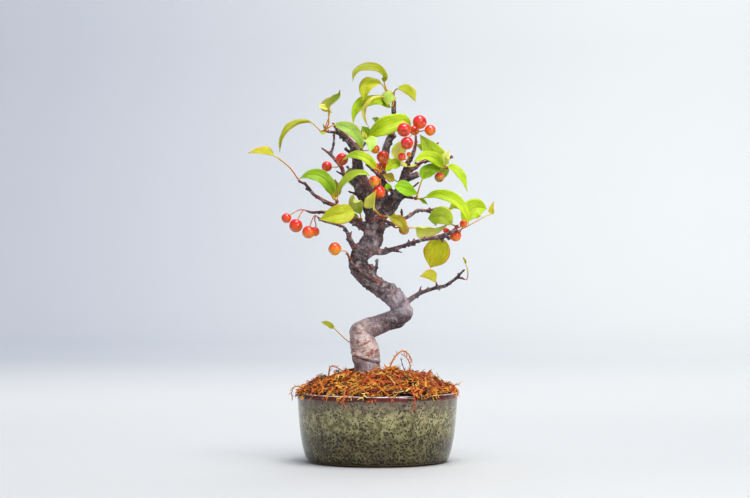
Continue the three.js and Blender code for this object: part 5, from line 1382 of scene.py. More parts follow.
@dataclass
class Pot:
    """The glazed bowl. Profiles are radius and height in millimetres."""

    sides: int = 128
    outside: tuple = ((3, 0), (44, 0), (45.6, 0.4), (47.2, 1.6), (48.6, 3.2), (49.9, 7), (51, 12),
                      (52, 18), (52.7, 24), (53.3, 31), (53.8, 38), (54.1, 43.2))
    lip: tuple = ((54.25, 45.2), (54.05, 46.2), (53.5, 46.8), (52.7, 47), (51.8, 46.7), (51.1, 45.8))
    inside: tuple = ((50.6, 44), (50.3, 42), (49.3, 30), (47.8, 14), (46.2, 8), (43, 5.4), (3, 5))
    floor_top: float = 4.9
    half_wall: float = 1.7
    hole_radius: float = 5.0
    hole_offset: float = 20.0
    hand_wobble: float = 0.25
    wobble_pitch: float = 28.0
    crease: float = 40.0

    def build(self) -> Object:
        """Model the bowl, then cut its drain holes.

        Returns:
            The bowl.
        """
        profile = [(r * MM, h * MM) for r, h in (*self.outside, *self.lip, *self.inside)]
        pot = turned("pot_glazed", profile, self.sides)
        for side in (-1, 1):
            cleared()
            bpy.ops.mesh.primitive_cylinder_add(
                vertices=32, radius=self.hole_radius * MM, depth=20 * MM,
                location=(side * self.hole_offset * MM, 0, 0))
            drill = bpy.context.object
            modified(pot, "BOOLEAN", operation="DIFFERENCE", object=drill, solver="EXACT")
            bpy.data.objects.remove(drill)
        for vertex in pot.data.vertices:
            swell = noise.noise(vertex.co * self.wobble_pitch) * self.hand_wobble * MM
            flat = Vector((vertex.co.x, vertex.co.y, 0))
            if vertex.co.z > 2 * MM and flat.length > 40 * MM:
                vertex.co += flat.normalized() * swell
        zone = np.zeros((len(pot.data.vertices), 3))
        for vertex in pot.data.vertices:
            inner = vertex.co.xy.length < self.inner_radius(vertex.co.z / MM) * MM
            zone[vertex.index, 0] = inner and vertex.co.z > self.floor_top * MM
        store(pot.data, "zone", zone)
        chosen(pot)
        bpy.ops.object.shade_smooth_by_angle(angle=math.radians(self.crease))
        return pot

    def inner_radius(self, height: float) -> float:
        """Give the radius half way through the wall at a height, in millimetres."""
        heights = [h for _, h in self.outside]
        return float(np.interp(height, heights, [r for r, _ in self.outside])) - self.half_wall

    def dress(self) -> None:
        """Build the bowl and glaze it."""
        finish_piece(self.build(), Glaze().material(), "glaze", "pot")


@dataclass
class Filling:
    """The soil and the drain screens, kept as they are."""

    def dress(self) -> None:
        """Give the kept nodes their materials."""
        finishes = {
            "soil": Litter("soil", 0x1E140E, 0x4A3626).material(),
            "drain_screen_left": Screen().material(),
        }
        finishes["drain_screen_right"] = finishes["drain_screen_left"]
        for node, material in finishes.items():
            piece = frame["nodes"][node]
            piece.data.materials.clear()
            piece.data.materials.append(material)
            LOG.info("%s: kept", node)


def moss_height(distance: float) -> float:
    """Give the mound's height in mm at a distance in mm from the middle."""
    share = min(distance / Moss.edge_radius, 1)
    return Moss.edge_height + (Moss.top - Moss.edge_height) * (1 - share**Moss.roundness)


def clump(x: float, y: float) -> float:
    """Give how far a clump of moss stands over the mound at a place, all in mm."""
    pitch = Moss.clump_pitch
    return Moss.clump_height * noise.noise(Vector((x / pitch, y / pitch, 1.7))) + 0.5


@dataclass
class Moss:
    """A bed of dried sphagnum: a dark mound under sprigs, loose fibres and long strands; the mound's
    near-black is partly painted shade between them.
    """

    top: float = 60.5
    edge_radius: float = 53.0
    edge_height: float = 48.0
    foot: float = 42.4
    roundness: float = 2.4
    bed_depth: float = 2.6
    bed_lumps: float = 1.8
    clump_height: float = 3.4
    clump_pitch: float = 9.0
    overhang: float = 2.4
    brink: float = 53.5
    drop: float = 2.2
    loft: float = 0.6
    seed: int = 11
    sprigs: int = 1050
    fibres: int = 900
    tones: tuple = (
        (0xD88018, 8), (0xEAA02C, 5), (0xCC5A18, 5), (0xA84014, 4), (0xE0B050, 3),
        (0x6A2410, 5), (0x34160E, 4), (0xE4BE6A, 2), (0xB4481A, 4),
    )

    def bed(self) -> Object:
        """Model the dark mound under the fibres; its near-black is partly painted shade.

        Returns:
            The mound.
        """
        rings = [(0.5, self.foot), (49.4, self.foot), (49.8, 46.6), (52.4, 47.4)]
        rings += [(r, moss_height(r) - self.bed_depth) for r in (50, 46, 41, 36, 31, 26, 21, 16, 13, 1)]
        piece = turned("moss_bed", [(r * MM, h * MM) for r, h in rings], 96)
        for vertex in piece.data.vertices:
            if vertex.co.z > 46 * MM and vertex.co.xy.length < 51 * MM:
                lump = noise.fractal(vertex.co * 120, 1.0, 2.0, 3)
                vertex.co.z += lump * self.bed_lumps * MM
        chosen(piece)
        bpy.ops.object.shade_smooth()
        return piece

    def sprig(self, rng: random.Random) -> Mesh:
        """Model one sprig along +X: a curved stem with drooping side shoots.

        Args:
            rng: The seeded draw.

        Returns:
            The template mesh.
        """
        length = rng.uniform(9, 14)
        sway, lift = rng.uniform(-2.5, 2.5), rng.uniform(0.5, 2.5)

        def stem(t: float) -> Vector:
            """Give the stem's place at a share of its length."""
            return Vector((length * t, sway * math.sin(2.4 * t), lift * math.sin(2.8 * t))) * MM

        lines = [[(stem(t), (0.6 - 0.34 * t) * MM) for t in (0, 0.33, 0.66, 1)]]
        for i in range(4):
            start = stem(0.2 + 0.2 * i)
            out = Vector((rng.uniform(0.8, 1.8), (-1) ** i * rng.uniform(1.3, 2.6), rng.uniform(-0.6, 1.4)))
            droop = Vector((out.x * 1.7, out.y * 1.5, out.z - 0.9))
            lines.append([(start, 0.5 * MM), (start + out * MM, 0.42 * MM),
                          (start + droop * MM, 0.16 * MM)])
        return kept_mesh(tubes("sprig", lines, 0))

    def fibre(self, rng: random.Random) -> Mesh:
        """Model one loose curly fibre along +X.

        Args:
            rng: The seeded draw.

        Returns:
            The template mesh.
        """
        length, turn = rng.uniform(7, 15), rng.uniform(0.6, 2.2)
        phase = rng.uniform(0, 6)
        places = []
        for i in range(7):
            t = i / 6
            curl = (math.sin(turn * 3 * t + phase), math.cos(turn * 2.3 * t + phase))
            places.append((Vector((length * t, 1.7 * curl[0], 1.2 * curl[1])) * MM,
                           (0.36 - 0.2 * t) * MM))
        return kept_mesh(tubes("fibre", [places], 0))

    def tone(self, rng: random.Random) -> np.ndarray:
        """Draw one strand's colour.

        Args:
            rng: The seeded draw.

        Returns:
            The colour, with full cover.
        """
        codes, shares = zip(*self.tones)
        colour = light_of(rng.choices(codes, shares)[0])
        return np.append(colour * rng.uniform(0.75, 1.25), 1)

    def scattered(self, copies: Copies, mesh: Mesh, rng: random.Random, lie: float) -> None:
        """Lay one copy somewhere on the mound.

        Args:
            copies: Where it is gathered.
            mesh: The template along +X.
            rng: The seeded draw.
            lie: How flat it lies, from 0 to 1.
        """
        while True:
            angle = rng.uniform(0, 2 * math.pi)
            distance = self.edge_radius * math.sqrt(rng.uniform(0.02, 1.0))
            middle = Vector((math.cos(angle), math.sin(angle), 0)) * distance
            if clump(middle.x, middle.y) > rng.uniform(-1.6, 0.9):
                break
        heading = angle + rng.gauss(0, 1.3)
        slope = -math.atan(0.55 * (distance / self.edge_radius) ** 2) * math.cos(heading - angle)
        pitch = slope + rng.gauss(0.12, 0.35) * (1.2 - lie)
        turn = Quaternion((0, 0, 1), heading) @ Quaternion((0, 1, 0), -pitch)
        turn = turn @ Quaternion((1, 0, 0), rng.uniform(0, 2 * math.pi))
        size = rng.uniform(0.7, 1.15)
        rows = coordinates(mesh) @ np.array(turn.to_matrix().transposed()) * size
        middle = rows.mean(axis=0) * np.array([1, 1, 0])
        spot = np.array([math.cos(angle), math.sin(angle), 0]) * distance * MM - middle
        lift = moss_height(distance) + clump(spot[0] / MM, spot[1] / MM)
        spot[2] = (lift + rng.uniform(-1.8, 0.8)) * MM
        rows = self.draped(rows + spot, rng.random() ** 3)
        tone = self.tone(rng)
        fade = 0.55 + 0.85 * np.linspace(0, 1, len(rows))[:, None] * np.array([1, 1, 1, 0])
        copies.add(mesh, rows, tone=np.clip(tone * fade, 0, 1))

    def draped(self, rows: np.ndarray, wild: float) -> np.ndarray:
        """Keep a strand on the mound and hanging over the lip at most a little.

        Args:
            rows: The strand's places, in metres.
            wild: How far it may stand off the mound, from 0 to 1.

        Returns:
            The moved places.
        """
        reach = np.hypot(rows[:, 0], rows[:, 1])
        over = np.maximum(reach - (self.edge_radius + self.overhang) * MM, 0)
        shrink = 1 - over * 0.75 / np.maximum(reach, 1e-6)
        rows[:, 0] *= shrink
        rows[:, 1] *= shrink
        reach = np.hypot(rows[:, 0], rows[:, 1])
        past = np.clip((reach / MM - self.brink) / 2.5, 0, 1)
        ground = [moss_height(r / MM) for r in reach]
        ground += np.array([clump(x / MM, y / MM) for x, y, _ in rows]) * (1 - past)
        ground = (ground - self.drop * past) * MM
        above = (rows[:, 2] - ground) / MM
        settled = self.loft + (above - self.loft) * (0.22 + 0.6 * wild)
        above = np.where(above > self.loft, settled, above)
        rows[:, 2] = ground + np.maximum(above, -self.drop) * MM - past * 0.9 * MM
        return rows

    def strands(self) -> Object:
        """Gather the sprigs, fibres and long strands.

        Returns:
            All of them as one piece.
        """
        rng = random.Random(self.seed)
        sprigs = [self.sprig(rng) for _ in range(7)]
        fibres = [self.fibre(rng) for _ in range(5)]
        copies = Copies()
        for _ in range(self.sprigs):
            self.scattered(copies, rng.choice(sprigs), rng, 0.5)
        for _ in range(self.fibres):
            self.scattered(copies, rng.choice(fibres), rng, 0.2)
        for code, radius, points in LONG_STRANDS:
            rings = Line([metres(p) for p in points]).sampled(5)
            lines = [[(r.place, radius * MM * (1 - 0.5 * i / len(rings))) for i, r in enumerate(rings)]]
            for ring in rings[3::2]:
                out = (ring.across * rng.uniform(-1, 1) + ring.up * rng.uniform(-1, 1)).normalized()
                shoot = (out + ring.along * 0.7) * rng.uniform(1.2, 2.6) * MM
                lines.append([(ring.place, 0.3 * MM), (ring.place + shoot * 0.6, 0.24 * MM),
                              (ring.place + shoot + ring.along * 0.6 * MM, 0.1 * MM)])
            mesh = kept_mesh(tubes("long_strand", lines, 0))
            rows = coordinates(mesh)
            copies.add(mesh, rows, tone=np.tile(np.append(linear(code), 1), (len(rows), 1)))
        return copies.piece("moss_strands")

    def dress(self) -> None:
        """Build the bed and the strands and colour them."""
        # Painted shade, over the moss's own dark under-layer: the mound is near black so that the gaps
        # between the strands read as shadow.
        finish_piece(self.bed(), Litter("moss_bed", 0x120A06, 0x402010).material(), "moss", "moss")
        finish_piece(self.strands(), Fibre().material(), "moss", "moss")


@dataclass
class Wood:
    """The trunk and its branches, one grown piece."""

    voxel: float = 0.00057
    lump: float = 0.0006
    knot: float = 0.0011
    ridge: float = 0.00026
    knob_step: float = 0.0045
    seed: int = 5
    scar_height: float = 0.0686
    scar_slope: float = -0.29
    scar_middle: float = -0.0070
    blend_reach: float = 0.9
    slimmest: float = 0.55
    young_height: float = 92.0
    # Above this height the twigs' upper sides turn red: partly their own red-brown bark, partly painted light
    # on the sides that face up.
    lit_red_height: float = 135.0
    twig: int = 0x34242A
    twig_lit_red: int = 0xA83C20

    def lines(self) -> list[list[Ring]]:
        """Sample every limb, snag and root.

        Returns:
            The rings of each.
        """
        limbs = [limb_line(points) for points in (*LIMBS.values(), *SNAGS)]
        limbs += [limb_line(points, in_view=False) for points in ROOTS]
        return [line.sampled(4) for line in limbs]

    def knobs(self, lines: list[list[Ring]]) -> list[list[tuple[Vector, float]]]:
        """Place the little knobs of old buds along the twigs, turn by turn.

        Args:
            lines: The rings of all the limbs.

        Returns:
            For each knob, its two places and the radius at each of them.
        """
        rng = random.Random(self.seed)
        found = []
        for rings in lines:
            last = 0.0
            for ring in rings[2:-1]:
                if ring.radius > 3 * MM or ring.travel - last < self.knob_step * rng.uniform(0.6, 1.5):
                    continue
                last = ring.travel
                spin = rng.uniform(0, 2 * math.pi)
                out = ring.across * math.cos(spin) + ring.up * math.sin(spin) + ring.along * 0.5
                reach = ring.radius + rng.uniform(0.1, 0.9) * MM
                thick = min(ring.radius * 0.7, 1.1 * MM)
                found.append([(ring.place, thick), (ring.place + out * reach, thick * 0.75)])
        return found

    def build(self) -> Object:
        """Draw the tubes, melt them into one and weather the surface.

        Returns:
            The wood.
        """
        lines = self.lines()
        drawn = [[(ring.place, self.grown(ring.radius)) for ring in rings] for rings in lines]
        pieces = [tubes("wood_tubes", drawn, 4), tubes("wood_knobs", self.knobs(lines), 2)]
        for x, y, z, radius in BURLS:
            cleared()
            bpy.ops.mesh.primitive_ico_sphere_add(
                subdivisions=3, radius=radius * MM, location=(x * MM, y * MM, z * MM))
            bpy.ops.object.transform_apply(location=True, rotation=True, scale=True)
            pieces.append(bpy.context.object)
        wood = joined("wood_bark", pieces)
        modified(wood, "REMESH", mode="VOXEL", voxel_size=self.voxel)
        self.trim(wood)
        modified(wood, "SMOOTH", factor=0.5, iterations=4)
        self.weather(wood.data, lines)
        chosen(wood)
        bpy.ops.object.shade_smooth()
        return wood

    def trim(self, wood: Object) -> None:
        """Keep the grown body alone, without the specks that the melt leaves beside it.

        Args:
            wood: The melted wood.
        """
        chosen(wood)
        bpy.ops.object.mode_set(mode="EDIT")
        bpy.ops.mesh.select_mode(type="VERT")
        bpy.ops.mesh.select_all(action="DESELECT")
        shape = bmesh.from_edit_mesh(wood.data)
        max(shape.verts, key=lambda v: v.co.z).select_set(True)
        bmesh.update_edit_mesh(wood.data)
        bpy.ops.mesh.select_linked()
        bpy.ops.mesh.select_all(action="INVERT")
        bpy.ops.mesh.delete(type="VERT")
        bpy.ops.object.mode_set(mode="OBJECT")

    def grown(self, radius: float) -> float:
        """Give a limb's radius under its bark: the twigs are the slimmest, in metres."""
        share = clamped((radius / MM - 2) / 2)
        return max(radius * (0.82 + 0.19 * share), self.slimmest * MM)

    def weather(self, mesh: Mesh, lines: list[list[Ring]]) -> None:
        """Raise lumps, ridges and the ring scar, and mark each vertex for the bark's colours, painted shade
        in the hollows and the groove included.

        Args:
            mesh: The smooth wood.
            lines: The rings of all the limbs.
        """
        rings = [ring for line in lines for ring in line]
        starts = [index for index, line in enumerate(lines) for _ in line]
        tree = KDTree(len(rings))
        for index, ring in enumerate(rings):
            tree.insert(ring.place, index)
        tree.balance()
        normals = rows_of(mesh.vertices, "normal")
        grain = np.zeros((len(mesh.vertices), 3))
        shade = np.zeros((len(mesh.vertices), 3))
        tone = np.ones((len(mesh.vertices), 4))
        for vertex in mesh.vertices:
            place = vertex.co.copy()
            hits = [(away - rings[index].radius, index) for _, index, away in tree.find_n(place, 9)]
            least, near = min(hits)
            weights = [math.exp((least - away) / (self.blend_reach * MM)) for away, _ in hits]
            radius = sum(w * rings[index].radius for w, (_, index) in zip(weights, hits)) / sum(weights)
            ring = rings[near]
            off = place - ring.place
            straight = Vector((off.dot(ring.across), off.dot(ring.up),
                               ring.travel + off.dot(ring.along) + 0.05 * starts[near]))
            grain[vertex.index] = straight
            girth = clamped((radius / MM - 1.2) / 4.5)
            relief = self.relief(place, straight, girth)
            scar = self.scar(place) if girth > 0.9 else 0.0
            vertex.co = place + Vector(normals[vertex.index]) * (relief + scar)
            ringed = clamped((self.young_height - place.z / MM) / 6) * girth
            ringed *= clamped((place.z - self.level(place)) / MM + 1.2, 0.1)
            # Painted shade: the sunken parts of the relief, and the whole wire groove, are marked to be
            # darkened.
            hollow_shade = clamped(-relief / (0.42 * MM) - 0.2) * (0.9 - 0.5 * ringed)
            shade[vertex.index] = (ringed, 0, 1.0 if scar < -0.28 * MM else hollow_shade)
            tone[vertex.index, :3] = self.tone(place, girth, normals[vertex.index][2])
        places = coordinates(mesh)
        for x, y, depth, reach in CUTS:
            away = np.linalg.norm(places - np.array(placed((x, y, depth))), axis=1)
            shade[:, 1] = np.maximum(shade[:, 1], np.clip(1.6 - away / (reach * MM) * 1.3, 0, 1))
        store(mesh, "grain", grain)
        store(mesh, "shade", shade)
        store(mesh, "tone", tone)

    def relief(self, place: Vector, straight: Vector, girth: float) -> float:
        """Give the height of the bark's lumps and ridges at a place.

        Args:
            place: The place, in metres.
            straight: The same place along its straightened limb.
            girth: How thick the limb is, from 0 to 1.

        Returns:
            The height, in metres.
        """
        old = clamped((place.z / MM - self.young_height) / 25)
        swell = noise.fractal(place * 95, 1.0, 2.0, 2) * self.lump * girth
        knots = (abs(noise.fractal(place * 230, 0.9, 2.0, 2)) - 0.28) * self.knot * girth * (0.25 + old)
        squeezed = Vector((straight.x * 190, straight.y * 190, straight.z * 640))
        rings = noise.fractal(squeezed, 0.8, 2.0, 2) * self.ridge * (1.1 - 0.5 * old)
        return swell + knots + rings * (0.5 + 0.5 * girth)

    def level(self, place: Vector) -> float:
        """Give the height of the wire mark over a place, in metres."""
        return self.scar_height + self.scar_slope * (place.x - self.scar_middle)

    def scar(self, place: Vector) -> float:
        """Give the depth of the old wire mark round the foot, in metres.

        Args:
            place: The place, in metres.

        Returns:
            How far the bark stands out there.
        """
        off = (place.z - self.level(place)) / MM
        groove = -0.55 * math.exp(-((off / 0.55) ** 2))
        collar = 0.6 * math.exp(-(((off - 1.6) / 1.1) ** 2))
        return (groove + collar) * MM

    def tone(self, place: Vector, girth: float, upward: float) -> np.ndarray:
        """Blend the bark's colour, painted shade included, from the named stretches round a place, and redden
        the twigs' upper sides.

        Args:
            place: The place, in metres.
            girth: How thick the limb is, from 0 to 1.
            upward: How far the surface looks up, from -1 to 1.

        Returns:
            The colour.
        """
        total, weight = np.zeros(3), 0.0
        for x, z, reach, code in BARK_TONES_AND_SHADE:
            off = math.hypot(place.x / MM - x, place.z / MM - z) / reach
            share = math.exp(-off * off) + 1e-5 / (1 + off)
            total += light_of(code) * share
            weight += share
        # Painted light, in part: the red-brown goes on the sides that look up, and the undersides keep the
        # dark twig colour.
        rust_and_lit_red = clamped(upward * 1.3 + noise.noise(place * 160) * 1.4 - 0.1, 0, 0.9)
        rust_and_lit_red *= clamped((place.z / MM - self.lit_red_height) / 30, 0.5)
        twig = blended(light_of(self.twig), light_of(self.twig_lit_red), rust_and_lit_red)
        return blended(twig, total / weight, min(girth * 1.6, 1))

    def dress(self) -> None:
        """Build the wood and colour its bark."""
        finish_piece(self.build(), Bark().material(), "bark", "wood")


def start_of(cluster: Cluster, several: bool) -> tuple[Vector, Vector]:
    """Find where a cluster grows from.

    Args:
        cluster: The spray or bunch.
        several: Whether a bud holds more than one stalk.

    Returns:
        The wood's own end and the bud or the stalk's start beyond it, in metres.
    """
    if cluster.root:
        root = placed(cluster.root)
        return root, root
    before, end = (placed(p) for p in LIMBS[cluster.on][-2:])
    reach = 2.0 if several else 1.0
    return end, end + (end - before).normalized() * reach * MM


def footing(cluster: Cluster) -> Vector:
    """Find the middle of the wood nearest to a cluster's root, in metres.

    Args:
        cluster: The spray or bunch.

    Returns:
        The place inside the wood.
    """
    if not cluster.root:
        return placed(LIMBS[cluster.on][-1])
    root = placed(cluster.root)
    best, found = math.inf, root
    for points in LIMBS.values():
        for ring in limb_line(points).sampled(4):
            away = (ring.place - root).length - ring.radius
            if away < best:
                best, found = away, ring.place
    return found


@dataclass
class Foliage:
    """All the sprays: blades laid along their ribs, with stalks and buds."""

    columns: int = 12
    rows: int = 40
    thickness: float = 0.22
    tooth: float = 0.012
    quilt: float = 0.16
    wave: float = 0.5
    stalk_radius: float = 0.5
    bud_radius: float = 1.25
    base_curve: float = 0.78
    ripple: float = 0.22
    rib_groove: float = 0.16
    rib_width: float = 0.09
    fine: int = 48
    stalk_red: int = 0xC03A14
    stalk_gold: int = 0xD8AE1C
    bud_brown: int = 0x9A4A3A
    seed: int = 3

    def blade(self) -> Mesh:
        """Model one flat blade: X from edge to edge, Y from stalk to tip, Z in millimetres.

        Returns:
            The template mesh.
        """
        cleared()
        bpy.ops.mesh.primitive_grid_add(x_subdivisions=self.columns, y_subdivisions=self.rows, size=2)
        blade = bpy.context.object
        bpy.ops.object.mode_set(mode="EDIT")
        shape = bmesh.from_edit_mesh(blade.data)
        for row in range(self.rows + 1):
            level = 2 * row / self.rows - 1
            t = row / self.rows
            width = max(math.sin(math.pi * t), 0) ** (self.base_curve + 0.5 * max(t - 0.5, 0))
            width = max(width + self.tooth * (-1) ** row * (0.1 < t < 0.95), 0.035)
            for vertex in shape.verts:
                vertex.select_set(abs(vertex.co.y - level) < 1e-4)
            shape.select_flush_mode()
            bmesh.update_edit_mesh(blade.data)
            bpy.ops.transform.resize(value=(width, 1, 1), center_override=(0, level, 0))
        bpy.ops.object.mode_set(mode="OBJECT")
        modified(blade, "SOLIDIFY", thickness=self.thickness, offset=0, use_even_offset=False)
        marks = np.zeros((len(blade.data.vertices), 3))
        for vertex in blade.data.vertices:
            t = (vertex.co.y + 1) / 2
            share = clamped(vertex.co.x / max(math.sin(math.pi * t) ** self.base_curve, 0.05), -1)
            marks[vertex.index] = (t, share, 0.0 if vertex.co.z > 0 else 1.0)
            phase = (t - LeafSkin.vein_rise * abs(share)) * LeafSkin.vein_pairs
            puff = abs((phase % 1) - 0.5) * 2
            relief = (0.5 - puff) * self.quilt * math.sin(math.pi * min(abs(share), 1))
            groove = -self.rib_groove * math.exp(-((share / self.rib_width) ** 2))
            vertex.co.y = t
            vertex.co.z += relief + groove
        store(blade.data, "blade", marks)
        return kept_mesh(blade)

    def bud(self) -> Mesh:
        """Model a plump bud with a point along +Z, one millimetre in radius.

        Returns:
            The template mesh.
        """
        profile = [(0.3, -1.2), (0.75, -0.9), (1.0, -0.3), (0.95, 0.2), (0.66, 0.8), (0.3, 1.3), (0.08, 1.6)]
        piece = turned("bud", [(r * MM, h * MM) for r, h in profile], 12)
        for vertex in piece.data.vertices:
            angle = math.atan2(vertex.co.y, vertex.co.x)
            ridge = 1 + 0.1 * math.cos(5 * angle + vertex.co.z / MM * 1.5)
            vertex.co.x *= ridge
            vertex.co.y *= ridge
        return kept_mesh(piece)

    def laid(self, copies: Copies, blade: Mesh, leaf: Leaf, root: Vector, foot: Vector,
             rng: random.Random) -> None:
        """Lay one leaf along its lines.

        Args:
            copies: Where the spray is gathered.
            blade: The flat blade.
            leaf: The leaf's lines, size and colours.
            root: Where its stalk starts.
            foot: The middle of the wood behind that.
            rng: The seeded draw.
        """
        path = [root, *[placed(p) for p in leaf.stalk], *[placed(p) for p in leaf.rib]]
        line = Line(path)
        stalk_steps = len(path) - len(leaf.rib)
        fine = self.fine
        marks = [stalk_steps + (line.end - stalk_steps) * i / fine for i in range(fine + 1)]
        steps = [i / 6 for i in range(6 * stalk_steps)]
        rings = line.rings(steps + marks)
        stalk_rings, rib_rings = rings[:len(steps)], rings[len(steps):]
        bands = 5 if len(leaf.rib) > 3 else 4
        frames = []
        for ring in rib_rings:
            across = ring.along.cross(Vector(leaf.face)).normalized()
            frames.append((ring.place, across, across.cross(ring.along)))
        peak = math.log(0.5) / math.log(leaf.belly)
        places, half = [], leaf.half * MM
        start = rng.uniform(0, 6)
        blade_marks = rows_of(blade.attributes["blade"].data, "vector")
        for vertex, (_, share, _) in zip(blade.vertices, blade_marks):
            t = clamped(vertex.co.y) ** (1 / peak)
            step = min(int(t * fine), fine - 1)
            w = t * fine - step
            place, across, normal = (a * (1 - w) + b * w for a, b in zip(frames[step], frames[step + 1]))
            out = vertex.co.x * half
            row = stalk_steps + t * bands
            wave = self.wave * math.sin(2.4 * row + 2 * share) * share * share
            wave += self.ripple * math.sin(17 * t + start + 1.5 * share) * share * share
            wave *= min(4 * vertex.co.y, 4 * (1 - vertex.co.y), 1)
            lift = abs(out) * math.sin(leaf.fold) + (wave * min(leaf.half / 4, 1) + vertex.co.z) * MM
            places.append(place + across * out * math.cos(leaf.fold) + normal * lift)
        blade_marks[:, 0] = np.minimum(blade_marks[:, 0], 1)
        rows = np.array([tuple(p) for p in places])
        copies.add(blade, rows, blade=blade_marks, tint=self.tinted(leaf.tint.value, blade_marks, rng))
        self.stalk(copies, leaf, foot, stalk_rings, rib_rings, frames)

    def tinted(self, hue: Hue, marks: np.ndarray, rng: random.Random) -> np.ndarray:
        """Colour a blade from its base to its tip and along its edge.

        Args:
            hue: The leaf's colours.
            marks: Each vertex's share along, share aside and side.
            rng: The seeded draw.

        Returns:
            A colour for each vertex.
        """
        along, aside = marks[:, :1], np.abs(marks[:, 1:2])
        colour = blended(light_of(hue.base), light_of(hue.tip), np.clip(along * 1.3 - 0.2, 0, 1))
        rim = np.clip((aside - 0.72) / 0.28, 0, 1) ** 2 * hue.edge_share
        rim = np.maximum(rim, np.clip((along - 0.9) / 0.1, 0, 1) * hue.edge_share)
        return opaque(blended(colour, light_of(hue.edge), rim) * rng.uniform(0.92, 1.08))

    def stalk(self, copies: Copies, leaf: Leaf, foot: Vector, stalk_rings: list[Ring],
              rib_rings: list[Ring], frames: list[tuple[Vector, ...]]) -> None:
        """Draw the stalk and the rib that it runs into under the blade.

        Args:
            copies: Where the spray is gathered.
            leaf: The leaf's lines, size and colours.
            foot: The middle of the wood behind the stalk.
            stalk_rings: The rings of the bare stalk.
            rib_rings: The rings under the blade.
            frames: The blade's place and directions at those rings.
        """
        thick = self.stalk_radius * MM * clamped(leaf.half / 4.5, 0.7)
        line = [(foot, thick * 1.25)]
        line += [(ring.place, thick) for ring in stalk_rings]
        last = int(len(rib_rings) * 0.86)
        for i, ring in enumerate(rib_rings[:last:3]):
            share = i * 3 / last
            radius = thick * (1 - 0.72 * share)
            sink = frames[i * 3][2] * (-0.1 * MM - radius * 0.55) * min(share * 8, 1)
            line.append((ring.place + sink, radius))
        mesh = kept_mesh(tubes("stalk", [line], 1))
        rows = coordinates(mesh)
        share = np.clip(np.linalg.norm(rows - np.array(foot), axis=1)
                        / max((rib_rings[0].place - foot).length, 1e-4), 0, 1)[:, None]
        colour = blended(light_of(self.stalk_red), light_of(self.stalk_gold), share)
        colour = blended(colour, light_of(leaf.tint.value.base), np.clip(share * 4 - 3, 0, 0.5))
        copies.add(mesh, rows, blade=self.off_blade(rows), tint=opaque(colour))

    def off_blade(self, rows: np.ndarray) -> np.ndarray:
        """Mark places that aren't on a blade."""
        return np.tile([0.0, 3.0, 0.0], (len(rows), 1))

    def spray(self, spray: Spray, blade: Mesh, bud: Mesh) -> None:
        """Build and dress one spray.

        Args:
            spray: The cluster of leaves.
            blade: The flat blade.
            bud: The bud that several stalks share.
        """
        rng = random.Random(f"{self.seed}{spray.name}")
        several = len(spray.leaves) > 1
        end, root = start_of(spray, several)
        foot = footing(spray)
        copies = Copies()
        for leaf in spray.leaves:
            self.laid(copies, blade, leaf, root, foot, rng)
        if several:
            way = (root - foot).normalized() if (root - foot).length > 0.1 * MM else Vector((0, 0, 1))
            turn = Vector((0, 0, 1)).rotation_difference(way).to_matrix()
            rows = coordinates(bud) * self.bud_radius @ np.array(turn.transposed())
            rows += np.array(root - way * 0.4 * MM)
            colour = np.append(linear(self.bud_brown), 1)
            copies.add(bud, rows, blade=self.off_blade(rows), tint=np.tile(colour, (len(rows), 1)))
        finish_piece(copies.piece(f"{spray.name}_fine"), self.material, "leaf", spray.name)

    def dress(self) -> None:
        """Build every spray."""
        self.material = LeafSkin().material()
        blade, bud = self.blade(), self.bud()
        for spray in SPRAYS:
            self.spray(spray, blade, bud)


